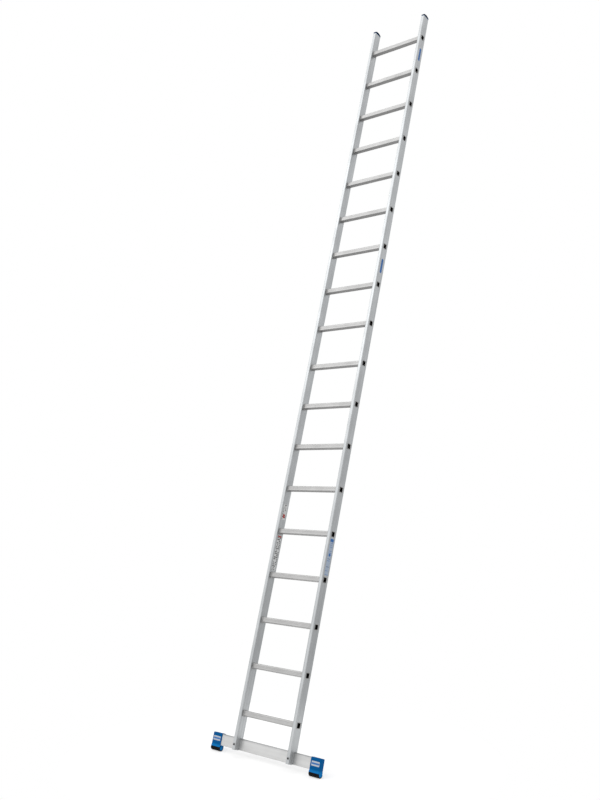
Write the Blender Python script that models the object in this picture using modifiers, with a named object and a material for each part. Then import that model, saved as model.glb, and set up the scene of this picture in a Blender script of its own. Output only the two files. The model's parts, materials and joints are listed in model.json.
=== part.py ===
"""Leaning rung ladder with a stabiliser bar across its lower end.

The ladder is built upright in its own frame, which a parent empty holds: X runs along the rungs, Y from the
climbing side to the wall side, and Z up the stiles from their cut lower ends. The empty then leans the ladder
back to its working angle and stands it with its soles on the floor.
"""

from math import acos, cos, pi, radians, sin

import bmesh
import bpy
from mathutils import Matrix, Vector

# ---------------------------------------------------------------- driving dimensions, in metres

LEAN_ANGLE = radians(73.3)  # between the stiles and the floor
OUTER_WIDTH = 0.450  # over both stiles

RUNG_COUNT = 18
RUNG_PITCH = 0.280
FIRST_RUNG_HEIGHT = 0.214  # from the stiles' lower ends to the middle of the lowest rung
TOP_MARGIN = 0.176  # stile left above the middle of the top rung

STILE_DEPTH = 0.060  # front to rear
STILE_THICKNESS = 0.023  # side to side
STILE_WALL = 0.0016
STILE_CORNER = 0.003
STILE_GROOVE_MARGIN = 0.0085  # from the front and rear faces to the groove near each
STILE_GROOVE_WIDTH = 0.0016
STILE_GROOVE_DEPTH = 0.0004

RUNG_DEPTH = 0.029
RUNG_HEIGHT = 0.031
RUNG_WALL = 0.0013
RUNG_CORNER = 0.005
RUNG_SLEEVE = 0.0012  # how far the ribbed middle stands out from the plain ends
RUNG_GROOVE_WIDTH = 0.0026
RUNG_GROOVE_DEPTH = 0.0009
RUNG_GROOVE_PITCH = 0.0058
TREAD_GROOVES = 3  # in the upper and lower sides of a rung
FACE_GROOVES = 2  # in the front and rear sides of a rung
COLLAR_RISE = 0.0030  # how far a rung's swaged collars stand out from it
INNER_COLLAR = 0.0040  # length along the rung, against the stile's inner face
OUTER_COLLAR = 0.0015  # length along the rung, against the stile's outer face

BAR_HEIGHT = 0.066
BAR_DEPTH = 0.0255
BAR_WALL = 0.002
BAR_CORNER = 0.0025
BAR_RISE = 0.002  # from the stiles' lower ends to the bar's lower face
BAR_GROOVE_MARGIN = 0.006  # from the bar's upper and lower faces to the groove near each
FEET_WIDTH = 0.854  # over the outer ends of both feet

CAP_LENGTH = 0.075
CAP_WALL = 0.0027
CAP_ROUNDING = 0.0022
SOCKET_FLOOR = 0.0021  # least thickness between the socket and the sole
SKIRT_WALL = 0.0011  # least thickness of the cap's lower edges outside the sole
SKIRT_RISE = 0.0050  # from the sole's axis up to those edges
SOLE_RADIUS = 0.0175
SOLE_THICKNESS = 0.0055
SOLE_SLOT_ANGLE = radians(32)  # half of the gap that the cap's neck goes through
SOLE_GROOVES = 5
SOLE_GROOVE_RADIUS = 0.0011
SOLE_LIP_INSET = 0.0004  # of the outside of the lip under the end plate from the sole's
SOLE_LIP_STEP = 0.0020  # left open between the cap's lower edges and the lip
END_PLATE_MARGIN = 0.0025  # how much smaller than the sole the plate at a foot's outer end is in radius
END_PLATE_RAISE = 0.0025  # how far that plate's middle is above the sole's axis
END_PLATE_THICKNESS = 0.0032
END_PLATE_INSET = 0.0003  # of that plate's outside from the cap's

PLATE_WIDTH = 0.057
PLATE_HEIGHT = 0.026
PLATE_THICKNESS = 0.0012
PLATE_RECESS = 0.0008
PLATE_MARGIN = 0.020  # from the top of the cap to the top of the plate
PLATE_CORNER = 0.002

PLUG_OVERHANG = 0.0004  # how far the top plug's rim stands out over the stile
PLUG_RIM = 0.0045
PLUG_REACH = 0.030  # depth of the plug's hollow tongue in the stile
PLUG_WALL = 0.002
PAD_HEIGHT = 0.016
PAD_SHOULDER = 0.007  # height of the pad's front and rear ends
PAD_ROUNDING = 0.0035
PAD_STEM_DEPTH = 0.020
PAD_STEM_THICKNESS = 0.006
PAD_STEM_REACH = 0.012

BOLT_RADIUS = 0.003
BOLT_HEAD_RADIUS = 0.0058
BOLT_HEAD_HEIGHT = 0.0034
BOLT_HEIGHT = 0.031  # above the stiles' lower ends
BOLT_TAIL = 0.002  # thread left beyond the nut
WASHER_RADIUS = 0.0078
WASHER_THICKNESS = 0.0012
NUT_ACROSS_FLATS = 0.010
NUT_THICKNESS = 0.005
SPACER_RADIUS = 0.0065
SCREW_RADIUS = 0.0021
SCREW_HEAD_RADIUS = 0.0042
SCREW_HEAD_HEIGHT = 0.0022
SCREW_REACH = 0.012
SCREW_INSET = 0.038  # from a foot's outer end to its screw

GAP = 0.0003  # between touching pieces
BOLT_CLEARANCE = 0.0004  # around a bolt or a screw in its hole
CORE_JOIN = 0.0005  # core and end plate left in the sole's space, so that its cutter trims them
OVERSHOOT = 0.01  # how far a cutter runs past what it cuts
TURNED_STEPS = 16  # sides of a turned piece
RING_STEPS = 18  # sides of the sole and of the space for it
DOME_STEPS = 8  # sides of a top pad's arch
HEAD_STEPS = 3  # rings of a bolt's domed head

# ---------------------------------------------------------------- sizes that follow

STILE_LENGTH = FIRST_RUNG_HEIGHT + (RUNG_COUNT - 1) * RUNG_PITCH + TOP_MARGIN
STILE_X = (OUTER_WIDTH - STILE_THICKNESS) / 2  # middle of a stile
STILE_INNER_X = OUTER_WIDTH / 2 - STILE_THICKNESS
RUNG_Y = STILE_DEPTH / 2
BAR_Y = STILE_DEPTH - BAR_DEPTH / 2
BAR_FRONT = STILE_DEPTH - BAR_DEPTH
BAR_TOP = BAR_RISE + BAR_HEIGHT
BAR_Z = BAR_RISE + BAR_HEIGHT / 2
CAP_HALF_DEPTH = BAR_DEPTH / 2 + GAP + CAP_WALL
CAP_TOP = BAR_TOP + GAP + CAP_WALL
CAP_OUTER_X = FEET_WIDTH / 2
BAR_LENGTH = FEET_WIDTH - 2 * (CAP_WALL + GAP)
SOLE_DROP = GAP + SOCKET_FLOOR + (SOLE_RADIUS + GAP) * cos(SOLE_SLOT_ANGLE)  # from the bar to the sole's axis
SOLE_Z = BAR_RISE - SOLE_DROP
SKIRT_HALF_DEPTH = SOLE_RADIUS + GAP + SKIRT_WALL
SOLE_LIP_RADIUS = SOLE_RADIUS - SOLE_LIP_INSET
SOLE_LIP_ANGLE = acos((SKIRT_RISE - SOLE_LIP_STEP) / SOLE_LIP_RADIUS)  # half of the gap in the lip
END_PLATE_RADIUS = SOLE_RADIUS - END_PLATE_MARGIN
CORE_RADIUS = SOLE_RADIUS - SOLE_THICKNESS - GAP
SCREW_X = CAP_OUTER_X - SCREW_INSET

# A section drawn in a plane (u, v) and run out along w is turned so that w lies along X or along Y.
ALONG_X = Matrix(((0, 0, 1), (1, 0, 0), (0, 1, 0))).to_4x4()
ALONG_Y = Matrix(((1, 0, 0), (0, 0, -1), (0, 1, 0))).to_4x4()

FINISHES = {
    "stile_aluminium": ((0.62, 0.63, 0.64), 0.38, 0.9),
    "rung_aluminium": ((0.70, 0.70, 0.69), 0.36, 0.9),
    "bar_aluminium": ((0.68, 0.69, 0.69), 0.40, 0.9),
    "blue_plastic": ((0.004, 0.098, 0.330), 0.42, 0.0),
    "black_rubber": ((0.012, 0.012, 0.013), 0.75, 0.0),
    "plate_plastic": ((0.72, 0.74, 0.78), 0.45, 0.0),
    "zinc_steel": ((0.42, 0.43, 0.44), 0.35, 1.0),
}


# ---------------------------------------------------------------- scene

def clear_scene():
    for item in list(bpy.data.objects):
        bpy.data.objects.remove(item, do_unlink=True)


def new_collection(name):
    collection = bpy.data.collections.new(name)
    bpy.context.scene.collection.children.link(collection)
    return collection


def new_material(name):
    colour, roughness, metallic = FINISHES[name]
    material = bpy.data.materials.new(name)
    material.use_nodes = True
    shader = material.node_tree.nodes["Principled BSDF"]
    shader.inputs["Base Color"].default_value = (*colour, 1.0)
    shader.inputs["Roughness"].default_value = roughness
    shader.inputs["Metallic"].default_value = metallic
    return material


clear_scene()
PARTS = new_collection("leaning_ladder")
CUTTERS = new_collection("leaning_ladder_cutters")
MATERIALS = {name: new_material(name) for name in FINISHES}

LADDER = bpy.data.objects.new("ladder_frame", None)
PARTS.objects.link(LADDER)
LADDER.rotation_euler.x = LEAN_ANGLE - pi / 2


def add_part(name, mesh, finish, place):
    part = bpy.data.objects.new(name, mesh)
    PARTS.objects.link(part)
    part.parent = LADDER
    part.location = place
    if not mesh.materials:
        mesh.materials.append(MATERIALS[finish])
    return part


def add_cutter(name, mesh, place):
    cutter = bpy.data.objects.new(name, mesh)
    CUTTERS.objects.link(cutter)
    cutter.parent = LADDER
    cutter.location = place
    cutter.hide_render = True
    cutter.display_type = "WIRE"
    return cutter


def combine(part, other, operation):
    """Cut another object out of a part, or join it to the part."""
    change = part.modifiers.new(f"{operation.lower()} {other.name}", "BOOLEAN")
    change.operation = operation
    change.solver = "EXACT"
    change.object = other


# ---------------------------------------------------------------- outlines

def rounded_outline(width, height, radius, steps):
    """Corners of a rounded rectangle about (0, 0), anticlockwise from the middle of its right side."""
    outline = []
    for quarter in range(4):
        across = 1 if quarter in (0, 3) else -1
        upward = 1 if quarter in (0, 1) else -1
        centre = (across * (width / 2 - radius), upward * (height / 2 - radius))
        for step in range(steps + 1):
            angle = (quarter + step / steps) * pi / 2
            outline.append((centre[0] + radius * cos(angle), centre[1] + radius * sin(angle)))
    return outline


def grooves_along(start, end, offsets, groove_width, depth):
    """Points of V grooves in a straight side, at their offsets from its middle; the solid is on its left."""
    start = Vector(start)
    end = Vector(end)
    along = (end - start).normalized()
    inward = Vector((-along.y, along.x))
    middle = (start + end) / 2
    points = []
    for offset in sorted(offsets):
        centre = middle + along * offset
        edge = along * groove_width / 2
        points += [centre - edge, centre + inward * depth, centre + edge]
    return [tuple(point) for point in points]


def grooved_outline(width, height, radius, steps, upright_offsets, level_offsets, groove_width, depth):
    """Rounded rectangle with V grooves in its upright sides and in its level sides."""
    corners = rounded_outline(width, height, radius, steps)
    outline = []
    for quarter in range(4):
        arc = corners[quarter * (steps + 1):(quarter + 1) * (steps + 1)]
        following = corners[((quarter + 1) * (steps + 1)) % len(corners)]
        offsets = level_offsets if quarter % 2 == 0 else upright_offsets
        outline += arc
        outline += grooves_along(arc[-1], following, offsets, groove_width, depth)
    return outline


def arc_points(centre, radius, start, end, steps):
    return [
        (centre[0] + radius * cos(start + (end - start) * step / steps),
         centre[1] + radius * sin(start + (end - start) * step / steps))
        for step in range(steps + 1)
    ]


def circle_outline(radius, sides=TURNED_STEPS):
    return arc_points((0, 0), radius, 0, 2 * pi * (sides - 1) / sides, sides - 1)


def evenly_spaced(count, pitch):
    return [(index - (count - 1) / 2) * pitch for index in range(count)]


# ---------------------------------------------------------------- meshes

def weld(mesh, distance=0.000001):
    """Join points that coincide and turn every face outwards."""
    work = bmesh.new()
    work.from_mesh(mesh)
    bmesh.ops.remove_doubles(work, verts=work.verts, dist=distance)
    bmesh.ops.recalc_face_normals(work, faces=work.faces)
    work.to_mesh(mesh)
    work.free()
    return mesh


def evaluated_mesh(holder):
    """A plain mesh of a curve or of an object with its modifiers, in the object's own frame."""
    depsgraph = bpy.context.evaluated_depsgraph_get()
    return bpy.data.meshes.new_from_object(holder.evaluated_get(depsgraph))


def extruded(name, outlines, length, turn=None):
    """Closed outlines run out to a length about their plane; an outline inside another is a hollow."""
    curve = bpy.data.curves.new(name, "CURVE")
    curve.dimensions = "2D"
    curve.fill_mode = "BOTH"
    curve.extrude = length / 2
    for outline in outlines:
        spline = curve.splines.new("POLY")
        spline.points.add(len(outline) - 1)
        for point, (u, v) in zip(spline.points, outline):
            point.co = (u, v, 0, 1)
        spline.use_cyclic_u = True
    holder = bpy.data.objects.new(name, curve)
    CUTTERS.objects.link(holder)
    mesh = weld(evaluated_mesh(holder))
    bpy.data.objects.remove(holder)
    bpy.data.curves.remove(curve)
    mesh.name = name
    if turn:
        mesh.transform(turn)
    return mesh


def box(name, size):
    mesh = bpy.data.meshes.new(name)
    work = bmesh.new()
    bmesh.ops.create_cube(work, size=1.0, matrix=Matrix.Diagonal((*size, 1)))
    work.to_mesh(mesh)
    work.free()
    return mesh


def cylinder(name, radius, length, turn=None, sides=TURNED_STEPS):
    mesh = bpy.data.meshes.new(name)
    work = bmesh.new()
    bmesh.ops.create_cone(work, cap_ends=True, segments=sides, radius1=radius, radius2=radius, depth=length)
    work.to_mesh(mesh)
    work.free()
    if turn:
        mesh.transform(turn)
    return mesh


def turned(name, profile, turn=None):
    """A profile of (radius, height) points, from the top down its outer side, turned about the Z axis."""
    mesh = bpy.data.meshes.new(name)
    work = bmesh.new()
    points = [work.verts.new((radius, 0, height)) for radius, height in profile]
    for upper, lower in zip(points, points[1:]):
        work.edges.new((upper, lower))
    work.to_mesh(mesh)
    work.free()
    holder = bpy.data.objects.new(name, mesh)
    CUTTERS.objects.link(holder)
    screw = holder.modifiers.new("turned", "SCREW")
    screw.steps = TURNED_STEPS
    screw.render_steps = TURNED_STEPS
    screw.use_merge_vertices = True
    screw.merge_threshold = 0.00001
    result = weld(evaluated_mesh(holder))
    bpy.data.objects.remove(holder)
    bpy.data.meshes.remove(mesh)
    result.name = name
    if turn:
        result.transform(turn)
    smooth(result)
    return result


def smooth(mesh, angle=radians(35)):
    mesh.shade_smooth()
    mesh.set_sharp_from_angle(angle=angle)


def united(name, pieces, removed=()):
    """One closed mesh from (mesh, place) pieces joined together, less the removed ones."""
    helpers = []

    def helper(mesh, place, operation):
        item = bpy.data.objects.new(name, mesh)
        item.location = place
        CUTTERS.objects.link(item)
        helpers.append(item)
        if operation:
            combine(helpers[0], item, operation)

    first_mesh, first_place = pieces[0]
    helper(first_mesh, first_place, None)
    for mesh, place in pieces[1:]:
        helper(mesh, place, "UNION")
    for mesh, place in removed:
        helper(mesh, place, "DIFFERENCE")
    result = evaluated_mesh(helpers[0])
    result.transform(Matrix.Translation(first_place))
    for item in helpers:
        bpy.data.objects.remove(item)
    result.materials.clear()
    result.name = name
    return result


def rounded(mesh, width, segments=2, angle=radians(50)):
    """The same mesh with each flat side made one face and its sharp edges rounded."""
    work = bmesh.new()
    work.from_mesh(mesh)
    bmesh.ops.dissolve_limit(work, angle_limit=radians(0.5), verts=work.verts, edges=work.edges)
    work.to_mesh(mesh)
    work.free()
    holder = bpy.data.objects.new(mesh.name, mesh)
    CUTTERS.objects.link(holder)
    bevel = holder.modifiers.new("rounded edges", "BEVEL")
    bevel.width = width
    bevel.segments = segments
    bevel.limit_method = "ANGLE"
    bevel.angle_limit = angle
    result = evaluated_mesh(holder)
    bpy.data.objects.remove(holder)
    return result


def copies(name, mesh, places):
    """Copies of a mesh at several places, in one mesh."""
    result = bpy.data.meshes.new(name)
    work = bmesh.new()
    for place in places:
        before = len(work.verts)
        work.from_mesh(mesh)
        work.verts.ensure_lookup_table()
        bmesh.ops.translate(work, verts=work.verts[before:], vec=place)
    work.to_mesh(result)
    work.free()
    return result


def mirrored(mesh, name):
    """The same piece for the other side of the ladder."""
    copy = mesh.copy()
    copy.name = name
    copy.transform(Matrix.Diagonal((-1, 1, 1, 1)))
    copy.flip_normals()
    return copy


# ---------------------------------------------------------------- rungs

def rung_mesh():
    """A ribbed tube whose plain ends run through the stiles, with a collar on each side of each stile."""
    plain = rounded_outline(RUNG_DEPTH, RUNG_HEIGHT, RUNG_CORNER, 2)
    sleeve = grooved_outline(
        RUNG_DEPTH + 2 * RUNG_SLEEVE, RUNG_HEIGHT + 2 * RUNG_SLEEVE, RUNG_CORNER + RUNG_SLEEVE, 2,
        evenly_spaced(FACE_GROOVES, RUNG_GROOVE_PITCH), evenly_spaced(TREAD_GROOVES, RUNG_GROOVE_PITCH),
        RUNG_GROOVE_WIDTH, RUNG_GROOVE_DEPTH)
    collar = rounded_outline(
        RUNG_DEPTH + 2 * COLLAR_RISE, RUNG_HEIGHT + 2 * COLLAR_RISE, RUNG_CORNER + COLLAR_RISE, 1)
    bore = rounded_outline(
        RUNG_DEPTH - 2 * RUNG_WALL, RUNG_HEIGHT - 2 * RUNG_WALL, RUNG_CORNER - RUNG_WALL, 1)

    outer_start = OUTER_WIDTH / 2 + GAP
    length = 2 * (outer_start + OUTER_COLLAR)
    inner_start = STILE_INNER_X - GAP - INNER_COLLAR
    pieces = [
        (extruded("ribbed tube", [sleeve], 2 * inner_start + INNER_COLLAR, ALONG_X), (0, 0, 0)),
        (extruded("plain tube", [plain], length - OUTER_COLLAR, ALONG_X), (0, 0, 0)),
    ]
    for side in (-1, 1):
        inner = extruded("inner collar", [collar], INNER_COLLAR, ALONG_X)
        outer = extruded("outer collar", [collar], OUTER_COLLAR, ALONG_X)
        pieces.append((inner, (side * (inner_start + INNER_COLLAR / 2), 0, 0)))
        pieces.append((outer, (side * (outer_start + OUTER_COLLAR / 2), 0, 0)))
    hollow = (extruded("bore", [bore], length + 2 * OVERSHOOT, ALONG_X), (0, 0, 0))
    mesh = united("rung", pieces, [hollow])
    smooth(mesh)
    return mesh


def rung_heights():
    return [FIRST_RUNG_HEIGHT + index * RUNG_PITCH for index in range(RUNG_COUNT)]


def build_rungs():
    mesh = rung_mesh()
    for number, height in enumerate(rung_heights(), start=1):
        add_part(f"rung_{number:02d}", mesh, "rung_aluminium", (0, RUNG_Y, height))


# ---------------------------------------------------------------- stiles and stabiliser bar

def cut_rung_holes():
    """A row of punches, each of which opens both walls of both stiles."""
    hole = rounded_outline(RUNG_DEPTH + 2 * GAP, RUNG_HEIGHT + 2 * GAP, RUNG_CORNER + GAP, 2)
    punch = extruded("rung hole", [hole], OUTER_WIDTH + 2 * OVERSHOOT, ALONG_X)
    rows = copies("rung_holes", punch, [(0, 0, height) for height in rung_heights()])
    return add_cutter("rung_holes", rows, (0, RUNG_Y, 0))


def cut_bar_notch():
    """The rear of each stile's lower end is cut away for the bar."""
    size = (OUTER_WIDTH + 2 * OVERSHOOT, BAR_DEPTH + GAP + OVERSHOOT, BAR_TOP + GAP + OVERSHOOT)
    middle = (0, BAR_FRONT - GAP + size[1] / 2, BAR_TOP + GAP - size[2] / 2)
    return add_cutter("bar_notch", box("bar_notch", size), middle)


def cut_bolt_holes():
    length = STILE_DEPTH + 2 * OVERSHOOT
    drill = cylinder("bolt hole", BOLT_RADIUS + BOLT_CLEARANCE, length, ALONG_Y)
    both = copies("bolt_holes", drill, [(-STILE_X, 0, 0), (STILE_X, 0, 0)])
    return add_cutter("bolt_holes", both, (0, STILE_DEPTH / 2, BOLT_HEIGHT))


def cut_screw_holes():
    """Holes in the rear walls of the bar and the foot caps."""
    drill = cylinder("screw hole", SCREW_RADIUS + BOLT_CLEARANCE, BAR_DEPTH, ALONG_Y)
    both = copies("screw_holes", drill, [(-SCREW_X, 0, 0), (SCREW_X, 0, 0)])
    return add_cutter("screw_holes", both, (0, STILE_DEPTH, BAR_Z))


def build_stiles(rung_holes, bar_notch, bolt_holes):
    groove_offset = STILE_DEPTH / 2 - STILE_GROOVE_MARGIN
    outer = grooved_outline(
        STILE_THICKNESS, STILE_DEPTH, STILE_CORNER, 3, (-groove_offset, groove_offset), (),
        STILE_GROOVE_WIDTH, STILE_GROOVE_DEPTH)
    inner = rounded_outline(
        STILE_THICKNESS - 2 * STILE_WALL, STILE_DEPTH - 2 * STILE_WALL, STILE_CORNER - STILE_WALL, 1)
    mesh = extruded("stile", [outer, inner], STILE_LENGTH)
    smooth(mesh)
    for name, side in (("stile_left", -1), ("stile_right", 1)):
        stile = add_part(name, mesh, "stile_aluminium", (side * STILE_X, STILE_DEPTH / 2, STILE_LENGTH / 2))
        for cutter in (bar_notch, rung_holes, bolt_holes):
            combine(stile, cutter, "DIFFERENCE")


def build_bar(bolt_holes, screw_holes):
    groove_offset = BAR_HEIGHT / 2 - BAR_GROOVE_MARGIN
    outer = grooved_outline(
        BAR_DEPTH, BAR_HEIGHT, BAR_CORNER, 2, (-groove_offset, groove_offset), (),
        STILE_GROOVE_WIDTH, STILE_GROOVE_DEPTH)
    inner = rounded_outline(BAR_DEPTH - 2 * BAR_WALL, BAR_HEIGHT - 2 * BAR_WALL, BAR_CORNER / 2, 1)
    mesh = extruded("stabiliser_bar", [outer, inner], BAR_LENGTH, ALONG_X)
    smooth(mesh)
    bar = add_part("stabiliser_bar", mesh, "bar_aluminium", (0, BAR_Y, BAR_Z))
    for cutter in (bolt_holes, screw_holes):
        combine(bar, cutter, "DIFFERENCE")


# ---------------------------------------------------------------- feet

def ring_sector(name, inner_radius, outer_radius, slot_angle, length):
    """A ring about the X axis, open over the slot at its top."""
    start = pi / 2 + slot_angle
    end = 2 * pi + pi / 2 - slot_angle
    outline = arc_points((0, 0), outer_radius, start, end, RING_STEPS)
    outline += arc_points((0, 0), inner_radius, end, start, RING_STEPS)
    return extruded(name, [outline], length, ALONG_X)


def cap_mesh():
    """The right foot's cap: a socket over the bar's end, with the core that holds the sole below it."""
    half_bar = BAR_HEIGHT / 2
    top = half_bar + GAP + CAP_WALL
    axis = -half_bar - SOLE_DROP
    skirt = axis + SKIRT_RISE
    section = [
        (CAP_HALF_DEPTH, top), (-CAP_HALF_DEPTH, top), (-CAP_HALF_DEPTH, -top),
        (-SKIRT_HALF_DEPTH, skirt), (SKIRT_HALF_DEPTH, skirt), (CAP_HALF_DEPTH, -top),
    ]

    body = rounded(extruded("cap body", [section], CAP_LENGTH, ALONG_X), CAP_ROUNDING)
    core = cylinder("core", CORE_RADIUS + CORE_JOIN, CAP_LENGTH - 2 * CORE_JOIN, ALONG_X)
    plate_length = END_PLATE_THICKNESS + CORE_JOIN - END_PLATE_INSET
    plate_x = CAP_LENGTH / 2 - END_PLATE_INSET - plate_length / 2
    end_plate = cylinder("end plate", END_PLATE_RADIUS, plate_length, ALONG_X, RING_STEPS)
    pieces = [
        (body, (0, 0, 0)),
        (core, (0, 0, axis)),
        (end_plate, (plate_x, 0, axis + END_PLATE_RAISE)),
    ]

    socket_length = CAP_LENGTH - CAP_WALL + OVERSHOOT
    socket = box("socket", (socket_length, BAR_DEPTH + 2 * GAP, BAR_HEIGHT + 2 * GAP))
    ring_length = CAP_LENGTH - END_PLATE_THICKNESS + OVERSHOOT
    neck_angle = SOLE_SLOT_ANGLE - GAP / (SOLE_RADIUS - SOLE_THICKNESS / 2)
    ring = ring_sector("sole ring", CORE_RADIUS, SOLE_RADIUS + GAP, neck_angle, ring_length)
    recess = extruded(
        "plate recess",
        [rounded_outline(PLATE_WIDTH + 2 * GAP, PLATE_HEIGHT + 2 * GAP, PLATE_CORNER + GAP, 2)],
        2 * PLATE_RECESS, ALONG_Y)
    removed = [
        (socket, (CAP_LENGTH / 2 - CAP_WALL - socket_length / 2, 0, 0)),
        (ring, (CAP_LENGTH / 2 - END_PLATE_THICKNESS - ring_length / 2, 0, axis)),
        (recess, (0, -CAP_HALF_DEPTH, top - PLATE_MARGIN - PLATE_HEIGHT / 2)),
    ]
    mesh = united("foot_cap", pieces, removed)
    smooth(mesh)
    return mesh


def sole_mesh():
    """The right foot's rubber ring about the cap's core, with grooves and a lip under the end plate."""
    length = CAP_LENGTH - END_PLATE_THICKNESS - GAP
    inner_radius = SOLE_RADIUS - SOLE_THICKNESS
    ring = ring_sector("sole", inner_radius, SOLE_RADIUS, SOLE_SLOT_ANGLE, length)
    lip_length = CAP_LENGTH - length + SOLE_THICKNESS
    lip = ring_sector("lip", inner_radius, SOLE_LIP_RADIUS, SOLE_LIP_ANGLE, lip_length)
    pieces = [(ring, (0, 0, 0)), (lip, (CAP_LENGTH - (length + lip_length) / 2, 0, 0))]
    plate_length = CAP_LENGTH - length + OVERSHOOT
    plate_space = cylinder("end plate space", END_PLATE_RADIUS + GAP, plate_length, ALONG_X, RING_STEPS)
    removed = [(plate_space, ((length + plate_length) / 2, 0, END_PLATE_RAISE))]
    for offset in evenly_spaced(SOLE_GROOVES, length / SOLE_GROOVES):
        bpy.ops.mesh.primitive_torus_add(
            major_segments=RING_STEPS, minor_segments=4, major_radius=SOLE_RADIUS + SOLE_GROOVE_RADIUS / 4,
            minor_radius=SOLE_GROOVE_RADIUS)
        torus = bpy.context.object
        groove = torus.data
        bpy.data.objects.remove(torus)
        groove.transform(ALONG_X)
        removed.append((groove, (offset, 0, 0)))
    mesh = united("foot_sole", pieces, removed)
    smooth(mesh)
    return mesh


def build_feet(screw_holes):
    cap = cap_mesh()
    sole = sole_mesh()
    plate = extruded(
        "foot_plate", [rounded_outline(PLATE_WIDTH, PLATE_HEIGHT, PLATE_CORNER, 2)], PLATE_THICKNESS, ALONG_Y)
    screw = screw_mesh()
    cap_x = CAP_OUTER_X - CAP_LENGTH / 2
    sole_x = cap_x - (END_PLATE_THICKNESS + GAP) / 2
    plate_y = BAR_Y - CAP_HALF_DEPTH + PLATE_RECESS - GAP - PLATE_THICKNESS / 2
    plate_z = CAP_TOP - PLATE_MARGIN - PLATE_HEIGHT / 2
    screw_y = BAR_Y + CAP_HALF_DEPTH + GAP
    for name, side in (("left", -1), ("right", 1)):
        side_cap = cap if side > 0 else mirrored(cap, "foot_cap_mirrored")
        side_sole = sole if side > 0 else mirrored(sole, "foot_sole_mirrored")
        foot_cap = add_part(f"foot_cap_{name}", side_cap, "blue_plastic", (side * cap_x, BAR_Y, BAR_Z))
        combine(foot_cap, screw_holes, "DIFFERENCE")
        add_part(f"foot_sole_{name}", side_sole, "black_rubber", (side * sole_x, BAR_Y, SOLE_Z))
        add_part(f"foot_plate_{name}", plate, "plate_plastic", (side * cap_x, plate_y, plate_z))
        add_part(f"foot_screw_{name}", screw, "zinc_steel", (side * SCREW_X, screw_y, BAR_Z))


# ---------------------------------------------------------------- caps on the stiles' upper ends

def plug_mesh():
    """A rim over the stile's end, with a hollow tongue down inside the stile."""
    rim = extruded(
        "rim",
        [rounded_outline(
            STILE_THICKNESS + 2 * PLUG_OVERHANG, STILE_DEPTH + 2 * PLUG_OVERHANG, STILE_CORNER, 3)],
        PLUG_RIM)
    shrink = 2 * (STILE_WALL + GAP)
    tongue_corner = STILE_CORNER - STILE_WALL
    tongue = extruded(
        "tongue",
        [rounded_outline(STILE_THICKNESS - shrink, STILE_DEPTH - shrink, tongue_corner, 1),
         rounded_outline(
             STILE_THICKNESS - shrink - 2 * PLUG_WALL, STILE_DEPTH - shrink - 2 * PLUG_WALL,
             tongue_corner, 1)],
        PLUG_REACH + GAP + PLUG_RIM / 2)
    slot = box("stem slot", (PAD_STEM_THICKNESS + 2 * GAP, PAD_STEM_DEPTH + 2 * GAP, 2 * PLUG_RIM))
    rim_z = PLUG_RIM / 2
    tongue_z = rim_z - (PLUG_REACH + GAP + PLUG_RIM / 2) / 2
    mesh = united("top_plug", [(rim, (0, 0, rim_z)), (tongue, (0, 0, tongue_z))], [(slot, (0, 0, rim_z))])
    smooth(mesh)
    return mesh


def pad_mesh():
    """A domed rubber pad with a stem that goes down through the plug's rim."""
    half = STILE_DEPTH / 2 + PLUG_OVERHANG
    sagitta = PAD_HEIGHT - PAD_SHOULDER
    arch_radius = (half ** 2 + sagitta ** 2) / (2 * sagitta)
    arch = radians(90) - Vector((arch_radius - sagitta, half)).angle(Vector((1, 0)))
    outline = [(-half, 0), (half, 0)]
    outline += arc_points((0, PAD_HEIGHT - arch_radius), arch_radius, arch, pi - arch, DOME_STEPS)
    block = extruded("dome", [outline], STILE_THICKNESS + 2 * PLUG_OVERHANG, ALONG_X)
    dome = rounded(block, PAD_ROUNDING, 2, radians(40))
    stem_length = PAD_STEM_REACH + PAD_SHOULDER / 2
    stem = box("stem", (PAD_STEM_THICKNESS, PAD_STEM_DEPTH, stem_length))
    mesh = united("top_pad", [(dome, (0, 0, 0)), (stem, (0, 0, PAD_SHOULDER / 2 - stem_length / 2))])
    smooth(mesh)
    return mesh


def build_top_caps():
    plug = plug_mesh()
    pad = pad_mesh()
    plug_z = STILE_LENGTH + GAP
    pad_z = plug_z + PLUG_RIM + GAP
    for name, side in (("left", -1), ("right", 1)):
        place_x = side * STILE_X
        add_part(f"top_plug_{name}", plug, "blue_plastic", (place_x, STILE_DEPTH / 2, plug_z))
        add_part(f"top_pad_{name}", pad, "black_rubber", (place_x, STILE_DEPTH / 2, pad_z))


# ---------------------------------------------------------------- fasteners

def headed_pin(name, head_radius, head_height, radius, length):
    """A domed head whose flat underside is at the origin, with a shank that runs towards +Y."""
    dome_radius = (head_radius ** 2 + head_height ** 2) / (2 * head_height)
    rim_angle = Vector((head_radius, dome_radius - head_height)).angle(Vector((1, 0)))
    profile = arc_points((0, head_height - dome_radius), dome_radius, pi / 2, rim_angle, HEAD_STEPS)
    profile[0] = (0, head_height)
    profile += [(radius, 0), (radius, -length), (0, -length)]
    return turned(name, profile, ALONG_Y)


def screw_mesh():
    mesh = headed_pin("foot_screw", SCREW_HEAD_RADIUS, SCREW_HEAD_HEIGHT, SCREW_RADIUS, SCREW_REACH)
    mesh.transform(Matrix.Rotation(pi, 4, "Z"))
    return mesh


def ring_mesh(name, outer, inner, thickness):
    mesh = extruded(name, [outer, inner], thickness, ALONG_Y)
    smooth(mesh)
    return mesh


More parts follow.
